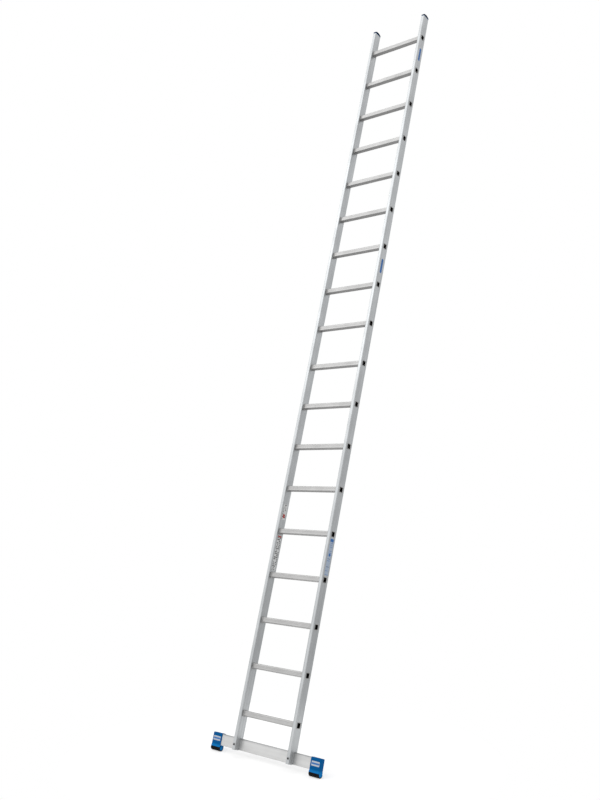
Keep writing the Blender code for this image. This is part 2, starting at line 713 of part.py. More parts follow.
def build_bolts():
    hole = circle_outline(BOLT_RADIUS + BOLT_CLEARANCE)
    washer = ring_mesh("washer", circle_outline(WASHER_RADIUS), hole, WASHER_THICKNESS)
    hexagon = circle_outline(NUT_ACROSS_FLATS / 2 / cos(pi / 6), 6)
    nut = ring_mesh("nut", hexagon, hole, NUT_THICKNESS)
    spacer_start = STILE_WALL + GAP
    spacer_end = BAR_FRONT - GAP
    spacer = ring_mesh("spacer", circle_outline(SPACER_RADIUS), hole, spacer_end - spacer_start)

    head_y = -WASHER_THICKNESS - 2 * GAP
    nut_y = STILE_DEPTH + WASHER_THICKNESS + 2 * GAP
    bolt_length = nut_y + NUT_THICKNESS + BOLT_TAIL - head_y
    bolt = headed_pin("bar_bolt", BOLT_HEAD_RADIUS, BOLT_HEAD_HEIGHT, BOLT_RADIUS, bolt_length)
    for name, side in (("left", -1), ("right", 1)):
        x = side * STILE_X
        add_part(f"bar_bolt_{name}", bolt, "zinc_steel", (x, head_y, BOLT_HEIGHT))
        front_y = -GAP - WASHER_THICKNESS / 2
        add_part(f"bar_washer_front_{name}", washer, "zinc_steel", (x, front_y, BOLT_HEIGHT))
        spacer_y = (spacer_start + spacer_end) / 2
        add_part(f"bar_spacer_{name}", spacer, "zinc_steel", (x, spacer_y, BOLT_HEIGHT))
        rear_y = STILE_DEPTH + GAP + WASHER_THICKNESS / 2
        add_part(f"bar_washer_rear_{name}", washer, "zinc_steel", (x, rear_y, BOLT_HEIGHT))
        add_part(f"bar_nut_{name}", nut, "zinc_steel", (x, nut_y + NUT_THICKNESS / 2, BOLT_HEIGHT))


# ---------------------------------------------------------------- stand the ladder up

def stand_on_floor():
    """Put the lowest point on the floor and the middle of the ladder's box over the origin."""
    depsgraph = bpy.context.evaluated_depsgraph_get()
    corners = []
    for part in PARTS.objects:
        if part.type == "MESH":
            shape = part.evaluated_get(depsgraph)
            corners += [shape.matrix_world @ vertex.co for vertex in shape.data.vertices]
    front = min(corner.y for corner in corners)
    rear = max(corner.y for corner in corners)
    LADDER.location.y -= (front + rear) / 2
    LADDER.location.z -= min(corner.z for corner in corners)


rung_holes = cut_rung_holes()
bar_notch = cut_bar_notch()
bolt_holes = cut_bolt_holes()
screw_holes = cut_screw_holes()
build_stiles(rung_holes, bar_notch, bolt_holes)
build_rungs()
build_bar(bolt_holes, screw_holes)
build_feet(screw_holes)
build_top_caps()
build_bolts()
stand_on_floor()
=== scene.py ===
"""Leaning rung ladder with a stabiliser bar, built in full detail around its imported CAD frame.

Every piece is shaped in the ladder's own frame and then laid over the CAD model: X runs along the rungs, Y from
the climbing side to the wall side, and Z up the stiles from their cut lower ends.
"""

from math import acos, atan2, cos, pi, radians, sin, tan

import bmesh
import bpy
from mathutils import Matrix, Vector
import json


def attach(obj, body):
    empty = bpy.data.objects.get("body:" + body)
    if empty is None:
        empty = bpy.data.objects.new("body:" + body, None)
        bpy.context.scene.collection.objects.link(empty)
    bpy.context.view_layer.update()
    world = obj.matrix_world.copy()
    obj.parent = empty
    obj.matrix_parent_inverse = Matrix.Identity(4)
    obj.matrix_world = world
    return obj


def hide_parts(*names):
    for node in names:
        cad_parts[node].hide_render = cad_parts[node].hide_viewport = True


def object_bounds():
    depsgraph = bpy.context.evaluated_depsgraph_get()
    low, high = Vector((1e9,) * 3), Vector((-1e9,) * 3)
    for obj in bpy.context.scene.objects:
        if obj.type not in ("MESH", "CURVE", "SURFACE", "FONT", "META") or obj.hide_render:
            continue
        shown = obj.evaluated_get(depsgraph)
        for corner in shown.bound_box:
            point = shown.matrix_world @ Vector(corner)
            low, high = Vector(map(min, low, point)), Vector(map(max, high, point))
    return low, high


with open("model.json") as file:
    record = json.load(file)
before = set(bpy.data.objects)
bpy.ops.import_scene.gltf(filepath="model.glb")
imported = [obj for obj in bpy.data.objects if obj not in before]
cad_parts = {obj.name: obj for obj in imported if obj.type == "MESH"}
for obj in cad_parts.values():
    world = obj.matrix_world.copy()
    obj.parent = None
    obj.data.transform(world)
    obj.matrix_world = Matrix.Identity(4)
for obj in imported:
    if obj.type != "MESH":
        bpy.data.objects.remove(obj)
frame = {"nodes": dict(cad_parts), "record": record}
CAD_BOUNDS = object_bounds()

# ---------------------------------------------------------------- the ladder's own frame

MOUNTS = {mount["name"]: mount for mount in frame["record"]["mounts"]}
ACROSS = Vector((1, 0, 0))
REARWARD = Vector(MOUNTS["wall_rest_left"]["axis"]).normalized()
UPWARD = ACROSS.cross(REARWARD)
TO_LADDER_AXES = Matrix((ACROSS, REARWARD, UPWARD))


def node_reach(node):
    """Lowest and highest of a CAD node along the ladder's three axes."""
    points = [TO_LADDER_AXES @ vertex.co for vertex in frame["nodes"][node].data.vertices]
    low = Vector([min(point[axis] for point in points) for axis in range(3)])
    high = Vector([max(point[axis] for point in points) for axis in range(3)])
    return low, high


FOOT_OF_STILE = node_reach("stile_left")[0]
FOOT_OF_STILE.x = 0
LADDER = Matrix.Translation(TO_LADDER_AXES.transposed() @ FOOT_OF_STILE) @ TO_LADDER_AXES.transposed().to_4x4()


def reach(node):
    """The same, from the front lower edge of the stiles."""
    low, high = node_reach(node)
    return low - FOOT_OF_STILE, high - FOOT_OF_STILE


STILE_LOW, STILE_HIGH = reach("stile_right")
STILE_MIDDLE = (STILE_LOW + STILE_HIGH) / 2
BAR_LOW, BAR_HIGH = reach("stabiliser_bar")
BAR_MIDDLE = (BAR_LOW + BAR_HIGH) / 2
CAP_LOW, CAP_HIGH = reach("foot_cap_right")
SOLE_LOW, SOLE_HIGH = reach("foot_sole_right")
RUNG_NODES = sorted(name for name in frame["nodes"] if name.startswith("rung_"))
RUNG_LOW, RUNG_HIGH = reach(RUNG_NODES[0])
RUNG_MIDDLE = (RUNG_LOW + RUNG_HIGH) / 2
RUNG_PITCH = (reach(RUNG_NODES[1])[0] - RUNG_LOW).z
BOLT_LOW, BOLT_HIGH = reach("bar_bolt_right")
BOLT_HEIGHT = (BOLT_LOW.z + BOLT_HIGH.z) / 2

# ---------------------------------------------------------------- sizes of the finer shapes, in metres

STILE_WALL = 0.0016
STILE_CORNER = 0.003
SIDE_LINES = (0.0085, 0.0105, 0.0300, 0.0495, 0.0515)  # fine grooves of a stile's side, from its front
EDGE_LINE = 0.0052  # from a stile's side to the groove in its narrow face
EDGE_LINE_WIDTH = 0.0022
LINE_WIDTH = 0.0009
LINE_DEPTH = 0.00035
NOTCH_CORNER = 0.0006  # of the notch for the bar

RUNG_DEPTH = 0.029
RUNG_HEIGHT = 0.031
RUNG_CORNER = 0.005
RUNG_WALL = 0.0013
SLEEVE = 0.0012  # how far the ribbed middle stands out from the plain ends
RIB_PITCH = 0.0058
RIB_GROOVE_WIDTH = 0.0028
RIB_GROOVE_DEPTH = 0.0006
COLLAR_RISE = 0.0027
COLLAR_LENGTH = 0.0040
COLLAR_EASE = 0.0006
RIM_RISE = 0.0024  # of the flared rim outside each stile
RIM_EASE = 0.0004
FLARE_LENGTH = 0.0024  # of the bore's mouth at each end

BAR_WALL = 0.002
BAR_CORNER = 0.0025
BAR_LINE = 0.006  # from the bar's upper and lower faces to the first fine groove near each
BAR_LINE_PITCH = 0.002

CAP_WALL = 0.0027
CAP_CORNER = 0.0042
CAP_END_ROUNDING = 0.0052
CAP_START_ROUNDING = 0.0009
CAP_WAIST_RADIUS = 0.008
CAP_WAIST_RISE = 0.002
SKIRT_RISE = 0.0050  # of the cap's lower edges above the sole's axis
SKIRT_EDGE = 0.0007
SOCKET_CORNER = 0.0012
CORE_INSET = 0.001
CORE_EDGE = 0.0008
SOLE_RADIUS = 0.0175
SOLE_THICKNESS = 0.0055
SOLE_SLOT = radians(32)  # half of the sole's opening for the cap's neck
SOLE_GROOVES = 5
# across a sole's groove, and how far each place is from the sole's outside
SOLE_GROOVE_PROFILE = (
    (-0.0034, 0), (-0.0022, -0.0005), (-0.0010, -0.0016), (0.0010, -0.0016), (0.0022, -0.0005), (0.0034, 0))
SOLE_EDGE = 0.0008
LIP_INSET = 0.0004
LIP_HALF_OPENING = 0.0030
LIP_LAP = 0.004  # how far the lip runs back into the sole
END_PLATE_THICKNESS = 0.0032
END_PLATE_RADIUS = 0.015
END_PLATE_RAISE = 0.0025
END_PLATE_INSET = 0.0003

PLATE_CORNER = 0.002
PLATE_RECESS = 0.0008
STRIPE_MARGIN = 0.002
STRIPE_SHARE = 0.36  # of the plate's height
STRIPE_RISE = 0.00018

PLUG_CLEARANCE = 0.0004
PLUG_WALL = 0.002
PLUG_ROUNDING = 0.0008
PAD_SHOULDER_SHARE = 0.42  # of the pad's height at its front and rear ends
PAD_END_ROUNDING = 0.004
PAD_END_DRAW = 0.0022  # how far the pad's sides draw in at its ends
PAD_CORNER = 0.0045
PAD_FOOT_EDGE = 0.0004
PAD_STATIONS = 20

BOLT_RADIUS = 0.003
BOLT_THREAD = 0.012
SCREW_RADIUS = 0.0021
SCREW_THREAD = 0.009
SCREW_HOLE_RADIUS = 0.0025
SCREW_INSET = 0.038
THREAD_PITCH = 0.001
SOCKET_ACROSS_FLATS = 0.004
SOCKET_DOME_ANGLE = radians(24)  # of the dome that the socket takes up
NUT_CHAMFER = 0.0006
NUT_CLEARANCE = 0.0001
WASHER_EDGE = 0.0002

GAP = 0.0003  # between touching pieces
BURR = 0.0004  # broken edges of cut metal
BOLT_CLEARANCE = 0.0004
OVERSHOOT = 0.01  # how far a cutter runs past what it cuts
MERGE_DISTANCE = 0.000002
OVERLAP = 0.0005  # how far joined bodies run into each other

ARC_STEPS = 5
FINE_ARC_STEPS = 48
RING_SIDES = 36
# across a groove in widths, and the share of its depth there
GROOVE_PROFILE = ((-0.5, 0), (-0.22, 1), (0.22, 1), (0.5, 0))

# ---------------------------------------------------------------- outlines

def rounded_loop(corners, steps=ARC_STEPS):
    """A closed outline through corners (u, v, radius), each rounded with the same number of points."""
    loop = []
    for index, (u, v, radius) in enumerate(corners):
        here = Vector((u, v))
        back = (Vector(corners[index - 1][:2]) - here).normalized()
        ahead = (Vector(corners[(index + 1) % len(corners)][:2]) - here).normalized()
        half = back.angle(ahead) / 2
        centre = here + (back + ahead).normalized() * (radius / sin(half))
        start = here + back * (radius / tan(half)) - centre
        end = here + ahead * (radius / tan(half)) - centre
        first = atan2(start.y, start.x)
        turn = (atan2(end.y, end.x) - first + pi) % (2 * pi) - pi
        for step in range(steps + 1):
            angle = first + turn * step / steps
            loop.append(centre + Vector((cos(angle), sin(angle))) * radius)
    return loop


def rectangle(width, height, radius, steps=ARC_STEPS):
    u, v = width / 2, height / 2
    return rounded_loop([(u, -v, radius), (u, v, radius), (-u, v, radius), (-u, -v, radius)], steps)


def circle(radius, sides=24):
    return [Vector((cos(2 * pi * side / sides), sin(2 * pi * side / sides))) * radius for side in range(sides)]


def hexagon(across_flats, sides=24):
    """A hexagon with as many points as a circle of these sides."""
    loop = []
    for side in range(sides):
        angle = 2 * pi * side / sides
        to_flat = (angle + pi / 6) % (pi / 3) - pi / 6
        loop.append(Vector((cos(angle), sin(angle))) * (across_flats / 2 / cos(to_flat)))
    return loop


def open_ring(inner_radius, outer_radius, slot, steps=FINE_ARC_STEPS):
    """A ring that is open at its top over twice the slot angle."""
    start, end = pi / 2 + slot, 5 * pi / 2 - slot
    angles = [start + (end - start) * step / steps for step in range(steps + 1)]
    outer = [Vector((cos(angle), sin(angle))) * outer_radius for angle in angles]
    inner = [Vector((cos(angle), sin(angle))) * inner_radius for angle in reversed(angles)]
    return outer + inner


def with_grooves(loop, sides, widths):
    """Adds groove points to a rounded rectangle; gives its points and how deep in a groove each one lies, 0 to 1.

    For the right, top, left and bottom sides, sides holds how far each groove is from the side's middle, and widths
    how wide the grooves are.
    """
    points, shares = [], []
    for side in range(4):
        # the corner before each side, then the side
        arc = loop[side * (ARC_STEPS + 1):(side + 1) * (ARC_STEPS + 1)]
        following = loop[((side + 1) * (ARC_STEPS + 1)) % len(loop)]
        along = (following - arc[-1]).normalized()
        middle = (following + arc[-1]) / 2
        points += arc
        shares += [0] * len(arc)
        for offset in sorted(sides[side]):
            for shift, share in GROOVE_PROFILE:
                points.append(middle + along * (offset + shift * widths[side]))
                shares.append(share)
    return points, shares


def moved_outward(points, distances):
    """Each point of an anticlockwise outline moved out square to the outline by its own distance."""
    moved = []
    count = len(points)
    for index, point in enumerate(points):
        along = (points[(index + 1) % count] - points[index - 1]).normalized()
        moved.append(point + Vector((along.y, -along.x)) * distances[index])
    return moved


def shrunk(loop, distance):
    """The outline drawn in by a distance at its sides."""
    low = Vector((min(point.x for point in loop), min(point.y for point in loop)))
    high = Vector((max(point.x for point in loop), max(point.y for point in loop)))
    middle, half = (low + high) / 2, (high - low) / 2
    share = Vector((1 - distance / half.x, 1 - distance / half.y))
    return [middle + (point - middle) * share for point in loop]


def shifted(loop, u, v):
    return [point + Vector((u, v)) for point in loop]


# ---------------------------------------------------------------- meshes

def run(loops, axis):
    """Rings in space from (outline, place along the axis) pairs."""
    rings = []
    for loop, place in loops:
        if axis == "X":
            rings.append([(place, point.x, point.y) for point in loop])
        elif axis == "Y":
            rings.append([(point.x, place, point.y) for point in loop])
        else:
            rings.append([(point.x, point.y, place) for point in loop])
    return rings


def eased(loop, start, end, start_radius, end_radius, steps=4):
    """(outline, place) pairs for a straight run of an outline, with its end edges rounded."""
    pairs = []
    for step in range(steps + 1):
        angle = pi / 2 * step / steps
        pairs.append((shrunk(loop, start_radius * (1 - sin(angle))), start + start_radius * (1 - cos(angle))))
    for step in range(steps, -1, -1):
        angle = pi / 2 * step / steps
        pairs.append((shrunk(loop, end_radius * (1 - sin(angle))), end - end_radius * (1 - cos(angle))))
    return pairs


def skin(name, rings, closed=False):
    """A mesh over rings of equally many points, filled at its ends, or joined end to end when closed."""
    mesh = bpy.data.meshes.new(name)
    work = bmesh.new()
    rows = [[work.verts.new(point) for point in ring] for ring in rings]
    pairs = list(zip(rows, rows[1:]))
    if closed:
        pairs.append((rows[-1], rows[0]))
    else:
        work.faces.new(rows[0])
        work.faces.new(rows[-1])
    count = len(rows[0])
    for lower, upper in pairs:
        for side in range(count):
            after = (side + 1) % count
            work.faces.new((lower[side], lower[after], upper[after], upper[side]))
    bmesh.ops.recalc_face_normals(work, faces=work.faces)
    work.to_mesh(mesh)
    work.free()
    return mesh


def prism(loop, start, end, axis):
    return skin("prism", run([(loop, start), (loop, end)], axis))


def in_scene(name, data):
    made = bpy.data.objects.new(name, data)
    bpy.context.scene.collection.objects.link(made)
    return made


def evaluated(holder):
    return bpy.data.meshes.new_from_object(holder.evaluated_get(bpy.context.evaluated_depsgraph_get()))


def worked(mesh, joined=(), cut=()):
    """The mesh with others joined to it and then others cut out of it."""
    holders = [in_scene("helper", mesh)]
    for operation, others in (("UNION", joined), ("DIFFERENCE", cut)):
        for other in others:
            holders.append(in_scene("helper", other))
            change = holders[0].modifiers.new(operation.lower(), "BOOLEAN")
            change.operation = operation
            change.solver = "EXACT"
            change.object = holders[-1]
    result = evaluated(holders[0])
    for holder in holders:
        bpy.data.objects.remove(holder)
    work = bmesh.new()
    work.from_mesh(result)
    bmesh.ops.remove_doubles(work, verts=work.verts, dist=MERGE_DISTANCE)
    work.to_mesh(result)
    work.free()
    return result


def copied(mesh):
    return mesh.copy()


def mirrored(mesh):
    """The same piece for the ladder's left side."""
    copy = mesh.copy()
    copy.transform(Matrix.Diagonal((-1, 1, 1, 1)))
    copy.flip_normals()
    return copy


BOTH_SIDES = (("right", copied), ("left", mirrored))


def moved(mesh, x, y, z):
    copy = mesh.copy()
    copy.transform(Matrix.Translation((x, y, z)))
    return copy


def drawn_tube(points, shares, wall, start, end, axis):
    """A hollow drawn section with fine lines in its outside and broken edges at its ends."""
    outer = moved_outward(points, [-LINE_DEPTH * share for share in shares])
    inner = moved_outward(points, [-wall] * len(points))
    eased_edge = moved_outward(points, [-BURR - LINE_DEPTH * share for share in shares])
    loops = [(eased_edge, start), (outer, start + BURR), (outer, end - BURR), (eased_edge, end),
             (inner, end), (inner, start)]
    return skin("tube", run(loops, axis), closed=True)


# ---------------------------------------------------------------- rows up the stiles

ROW_SEED = 7


def wire(tree, links):
    """Joins nodes by rows of (node, its output, next node, its input)."""
    for start, output, end, entry in links:
        tree.links.new(start.outputs[output], end.inputs[entry])


def tree_with(name, inputs, output):
    """An empty Geometry Nodes tree with named inputs, given as (name, kind), and one output."""
    tree = bpy.data.node_groups.new(name, "GeometryNodeTree")
    for label, kind in inputs:
        tree.interface.new_socket(label, in_out="INPUT", socket_type=f"NodeSocket{kind}")
    tree.interface.new_socket(output, in_out="OUTPUT", socket_type="NodeSocketGeometry")
    return tree


def grown(mesh, tree, values):
    """The plain mesh that a tree makes of a piece, with the tree's named inputs set first."""
    holder = in_scene("helper", mesh)
    change = holder.modifiers.new("tree", "NODES")
    change.node_group = tree
    for item in tree.interface.items_tree:
        if item.in_out == "INPUT" and item.name in values:
            change[item.identifier] = values[item.name]
    result = evaluated(holder)
    bpy.data.objects.remove(holder)
    return result


def row_tree(finishes):
    """Copies of a piece up a line, each with its own tone; faces of its inner skin take the second finish."""
    tree = tree_with("row_up_the_stiles", (
        ("Piece", "Geometry"), ("Count", "Int"), ("Pitch", "Float"), ("First", "Vector"), ("Seed", "Int")), "Row")

    def node(kind, **values):
        made = tree.nodes.new(kind)
        for key, value in values.items():
            setattr(made, key, value)
        return made

    entry = node("NodeGroupInput")
    leaving = node("NodeGroupOutput")
    upward = node("ShaderNodeCombineXYZ")
    line = node("GeometryNodeMeshLine", mode="OFFSET")
    place = node("GeometryNodeInstanceOnPoints")
    tone = node("FunctionNodeRandomValue", data_type="FLOAT")
    store = node("GeometryNodeStoreNamedAttribute", data_type="FLOAT", domain="INSTANCE")
    realize = node("GeometryNodeRealizeInstances")
    store.inputs["Name"].default_value = "tone"
    join = tree.links.new
    wire(tree, (
        (entry, "Pitch", upward, "Z"), (entry, "Count", line, "Count"), (entry, "First", line, "Start Location"),
        (upward, 0, line, "Offset"), (line, "Mesh", place, "Points"), (entry, "Piece", place, "Instance"),
        (place, "Instances", store, "Geometry"), (entry, "Seed", tone, "Seed"), (tone, 1, store, "Value"),
        (store, 0, realize, "Geometry")))
    last = realize
    for index, finish in enumerate(finishes):
        paint = node("GeometryNodeSetMaterial")
        paint.inputs["Material"].default_value = finish
        if index:
            inner = node("GeometryNodeInputNamedAttribute", data_type="BOOLEAN")
            inner.inputs["Name"].default_value = "inner_skin"
            join(inner.outputs["Attribute"], paint.inputs["Selection"])
        join(last.outputs[0], paint.inputs["Geometry"])
        last = paint
    join(last.outputs[0], leaving.inputs["Row"])
    return tree


def row_of(mesh, finishes):
    """The mesh repeated at every rung's height, as one mesh."""
    return grown(mesh, row_tree(finishes), {
        "Count": len(RUNG_NODES), "Pitch": RUNG_PITCH, "First": (0, RUNG_MIDDLE.y, RUNG_MIDDLE.z),
        "Seed": ROW_SEED})


# ---------------------------------------------------------------- finishes

class Finish:
    """A procedural material with its nodes laid out by short calls."""

    def __init__(self, name, roughness=0.5, metallic=0.0, specular=0.5):
        self.material = bpy.data.materials.new(name)
        self.material.use_nodes = True
        self.tree = self.material.node_tree
        self.shader = self.tree.nodes["Principled BSDF"]
        self.shader.inputs["Roughness"].default_value = roughness
        self.shader.inputs["Metallic"].default_value = metallic
        self.shader.inputs["Specular IOR Level"].default_value = specular
        place = self.add("ShaderNodeTexCoord")
        turn = self.add("ShaderNodeMapping")
        turn.vector_type = "TEXTURE"
        turn.inputs["Location"].default_value = LADDER.to_translation()
        turn.inputs["Rotation"].default_value = LADDER.to_euler()
        self.link(place.outputs["Object"], turn.inputs["Vector"])
        self.ladder = turn.outputs["Vector"]

    def add(self, kind):
        return self.tree.nodes.new(kind)

    def places(self):
        """Where a point is along the ladder's three axes, in metres."""
        split = self.add("ShaderNodeSeparateXYZ")
        self.link(self.ladder, split.inputs["Vector"])
        return split.outputs["X"], split.outputs["Y"], split.outputs["Z"]

    def link(self, start, end):
        self.tree.links.new(start, end)

    def noise(self, scale, stretch=(1, 1, 1), detail=3, roughness=0.55):
        """Noise in the ladder's frame, drawn out along the axes where stretch is small."""
        draw = self.add("ShaderNodeMapping")
        draw.inputs["Scale"].default_value = stretch
        self.link(self.ladder, draw.inputs["Vector"])
        made = self.add("ShaderNodeTexNoise")
        made.inputs["Scale"].default_value = scale
        made.inputs["Detail"].default_value = detail
        made.inputs["Roughness"].default_value = roughness
        self.link(draw.outputs["Vector"], made.inputs["Vector"])
        return made.outputs["Fac"]

    def between(self, value, from_low, from_high, to_low, to_high):
        made = self.add("ShaderNodeMapRange")
        for name, number in (("From Min", from_low), ("From Max", from_high),
                             ("To Min", to_low), ("To Max", to_high)):
            made.inputs[name].default_value = number
        self.link(value, made.inputs["Value"])
        return made.outputs["Result"]

    def maths(self, operation, first, second):
        made = self.add("ShaderNodeMath")
        made.operation = operation
        for socket, value in zip(made.inputs, (first, second)):
            if isinstance(value, (int, float)):
                socket.default_value = value
            else:
                self.link(value, socket)
        return made.outputs[0]

    def blend(self, share, first, second):
        """One colour turning into another; each is a colour or an output of this kind."""
        made = self.add("ShaderNodeMix")
        made.data_type = "RGBA"
        self.link(share, made.inputs[0])
        for socket, value in ((made.inputs[6], first), (made.inputs[7], second)):
            if isinstance(value, tuple):
                socket.default_value = (*value, 1)
            else:
                self.link(value, socket)
        return made.outputs[2]

    def bump(self, heights, distance, strength):
        made = self.add("ShaderNodeBump")
        made.inputs["Distance"].default_value = distance
        made.inputs["Strength"].default_value = strength
        self.link(heights, made.inputs["Height"])
        if self.shader.inputs["Normal"].is_linked:
            self.link(self.shader.inputs["Normal"].links[0].from_socket, made.inputs["Normal"])
        self.link(made.outputs["Normal"], self.shader.inputs["Normal"])

    def colour(self, output):
        self.link(output, self.shader.inputs["Base Color"])

    def roughness(self, output):
        self.link(output, self.shader.inputs["Roughness"])


def extruded_aluminium(name, tones, along, roughness):
    """Drawn aluminium: die lines along the piece, cloudy tone and small dull specks."""
    finish = Finish(name, roughness, metallic=1.0)
    drawn_out = 0.012
    lengthwise = tuple(drawn_out if axis == along else 1 for axis in "XYZ")
    lines = finish.noise(520, lengthwise, 4, 0.7)
    bands = finish.noise(90, lengthwise, 2)
    clouds = finish.noise(7, detail=4)
    dull = finish.noise(160, detail=5, roughness=0.7)
    tone = finish.blend(finish.between(bands, 0.35, 0.65, 0, 1), tones[0], tones[1])
    tone = finish.blend(finish.between(clouds, 0.42, 0.7, 0, 0.55), tone, tones[2])
    tone = finish.blend(finish.between(dull, 0.6, 0.78, 0, 0.5), tone, tuple(0.72 * part for part in tones[1]))
    fine = finish.between(lines, 0.3, 0.7, -0.05, 0.06)
    finish.roughness(finish.maths("ADD", finish.between(clouds, 0.3, 0.7, roughness - 0.04, roughness + 0.05), fine))
    finish.bump(lines, 0.00012, 0.35)
    finish.bump(dull, 0.00008, 0.2)
    return finish, tone


def stile_finish():
    finish, tone = extruded_aluminium(
        "stile_aluminium_drawn", ((0.50, 0.515, 0.525), (0.44, 0.455, 0.465), (0.40, 0.412, 0.42)), "Z", 0.36)
    # painted shade: a brown-grey darkening round each rung on the inner faces, where the rungs meet the stile
    across_rungs, rearward, upward = finish.places()
    cycle = finish.maths("SUBTRACT", upward, RUNG_MIDDLE.z - RUNG_PITCH / 2)
    cycle = finish.maths("PINGPONG", cycle, RUNG_PITCH / 2)
    above = finish.maths("SUBTRACT", RUNG_PITCH / 2, cycle)
    across = finish.maths("ABSOLUTE", finish.maths("SUBTRACT", rearward, RUNG_MIDDLE.y), 0)
    away = finish.maths("MAXIMUM", above, across)
    away = finish.maths("ADD", away, finish.between(finish.noise(45, detail=4), 0.3, 0.7, -0.006, 0.006))
    outward = finish.maths("ABSOLUTE", across_rungs, 0)
    inner = finish.between(outward, STILE_LOW.x + 0.001, STILE_LOW.x + 0.004, 1, 0)
    painted_joint_shade = finish.maths("MULTIPLY", finish.between(away, 0.016, 0.025, 0.2, 0), inner)
    # the painted shade at the rung joints darkens the stile's tone here
    finish.colour(finish.blend(painted_joint_shade, tone, (0.23, 0.21, 0.20)))
    return finish.material


def rung_finish():
    finish, tone = extruded_aluminium(
        "rung_aluminium_ribbed", ((0.475, 0.473, 0.47), (0.435, 0.433, 0.43), (0.405, 0.403, 0.40)), "X", 0.48)
    own = finish.add("ShaderNodeAttribute")
    own.attribute_name = "tone"
    tone = finish.blend(finish.between(own.outputs["Fac"], 0, 1, 0, 0.5), tone, (0.43, 0.428, 0.425))
    # painted shade: the rungs turn a dull darker grey at their ends, next to the stiles
    side = finish.maths("ABSOLUTE", finish.places()[0], 0)
    side = finish.maths("ADD", side, finish.between(finish.noise(30), 0.3, 0.7, -0.02, 0.02))
    finish.colour(finish.blend(finish.between(side, 0.175, 0.2, 0, 0.28), tone, (0.33, 0.32, 0.31)))
    return finish.material


def bar_finish():
    finish, tone = extruded_aluminium(
        "bar_aluminium_drawn", ((0.59, 0.59, 0.587), (0.545, 0.545, 0.542), (0.51, 0.51, 0.507)), "X", 0.42)
    # painted shade: darker grey along its upper face and upper edges, where the top face turns away from the light
    dust_and_painted_shade = finish.between(finish.places()[2], BAR_HIGH.z - 0.0046, BAR_HIGH.z - 0.0032, 0, 0.65)
    finish.colour(finish.blend(dust_and_painted_shade, tone, (0.20, 0.21, 0.215)))
    return finish.material


def bore_finish():
    """The inside of a rung: painted shade, near black, rough and unpolished."""
    finish = Finish("rung_bore_dark", 0.85, specular=0.1)
    bore_shade_mottle = finish.noise(120, (0.2, 1, 1), 4)
    # painted shade: a near-black mottle over the whole bore
    finish.colour(finish.blend(bore_shade_mottle, (0.002, 0.002, 0.002), (0.006, 0.006, 0.006)))
    finish.roughness(finish.between(bore_shade_mottle, 0.3, 0.7, 0.75, 0.95))
    finish.bump(bore_shade_mottle, 0.0002, 0.4)
    return finish.material


def blue_finish():
    """Moulded satin plastic with a fine grain, scuffed pale in places, with a painted highlight along its flared
    skirt.
    """
    finish = Finish("blue_plastic_moulded", 0.5, specular=0.03)
    grain = finish.noise(1400, detail=2)
    clouds = finish.noise(35, detail=4)
    scuffs = finish.noise(260, (0.35, 1, 1), 5, 0.75)
    tone = finish.blend(clouds, (0.0002, 0.072, 0.225), (0.0002, 0.088, 0.260))
    tone = finish.blend(finish.between(scuffs, 0.62, 0.8, 0, 0.35), tone, (0.012, 0.14, 0.34))
    # painted highlight: the flared skirt is painted paler near the floor
    ragged = finish.maths("ADD", finish.places()[2], finish.between(scuffs, 0.3, 0.7, -0.003, 0.003))
    painted_skirt_highlight = finish.between(ragged, BAR_LOW.z - 0.004, BAR_LOW.z + 0.006, 0.6, 0)
    finish.colour(finish.blend(painted_skirt_highlight, tone, (0.006, 0.19, 0.50)))
    finish.roughness(finish.between(clouds, 0.3, 0.7, 0.36, 0.5))
    finish.bump(grain, 0.00015, 0.35)
    return finish.material


def rubber_finish():
    """Matt black rubber with a pebbled skin and dust in its hollows."""
    finish = Finish("black_rubber_pebbled", 0.78, specular=0.1)
    pebbles = finish.noise(900, detail=3)
    dust_and_painted_shade = finish.noise(60, detail=5, roughness=0.65)
    finish.colour(finish.blend(finish.between(dust_and_painted_shade, 0.5, 0.8, 0, 0.7), (0.004, 0.004, 0.0045), (0.022, 0.021, 0.019)))
    finish.roughness(finish.between(pebbles, 0.3, 0.7, 0.7, 0.88))
    finish.bump(pebbles, 0.0003, 0.5)
    return finish.material


def plate_finish(name, tones, roughness):
    """Smooth printed plastic, faintly clouded and finely scratched."""
    finish = Finish(name, roughness)
    clouds = finish.noise(55, detail=4)
    scratches = finish.noise(700, (0.05, 1, 1), 3, 0.8)
    finish.colour(finish.blend(clouds, *tones))
    finish.roughness(finish.between(scratches, 0.35, 0.7, roughness - 0.06, roughness + 0.12))
    finish.bump(scratches, 0.00005, 0.2)
    return finish.material


def zinc_finish(name, shade):
    """Zinc plated steel: faintly spangled, dull in cloudy patches. Shade is 1 for bright plating, less for black."""
    finish = Finish(name, 0.36, metallic=1.0)
    bright, plain, dull = (
        tuple(shade * Vector(tone)) for tone in ((0.50, 0.505, 0.51), (0.36, 0.365, 0.375), (0.27, 0.265, 0.25)))
    spangle = finish.noise(420, detail=4)
    clouds = finish.noise(90, detail=3)
    tone = finish.blend(spangle, bright, plain)
    finish.colour(finish.blend(finish.between(clouds, 0.5, 0.75, 0, 0.5), tone, dull))
    finish.roughness(finish.between(spangle, 0.3, 0.7, 0.28, 0.46))
    finish.bump(spangle, 0.0001, 0.3)
    return finish.material


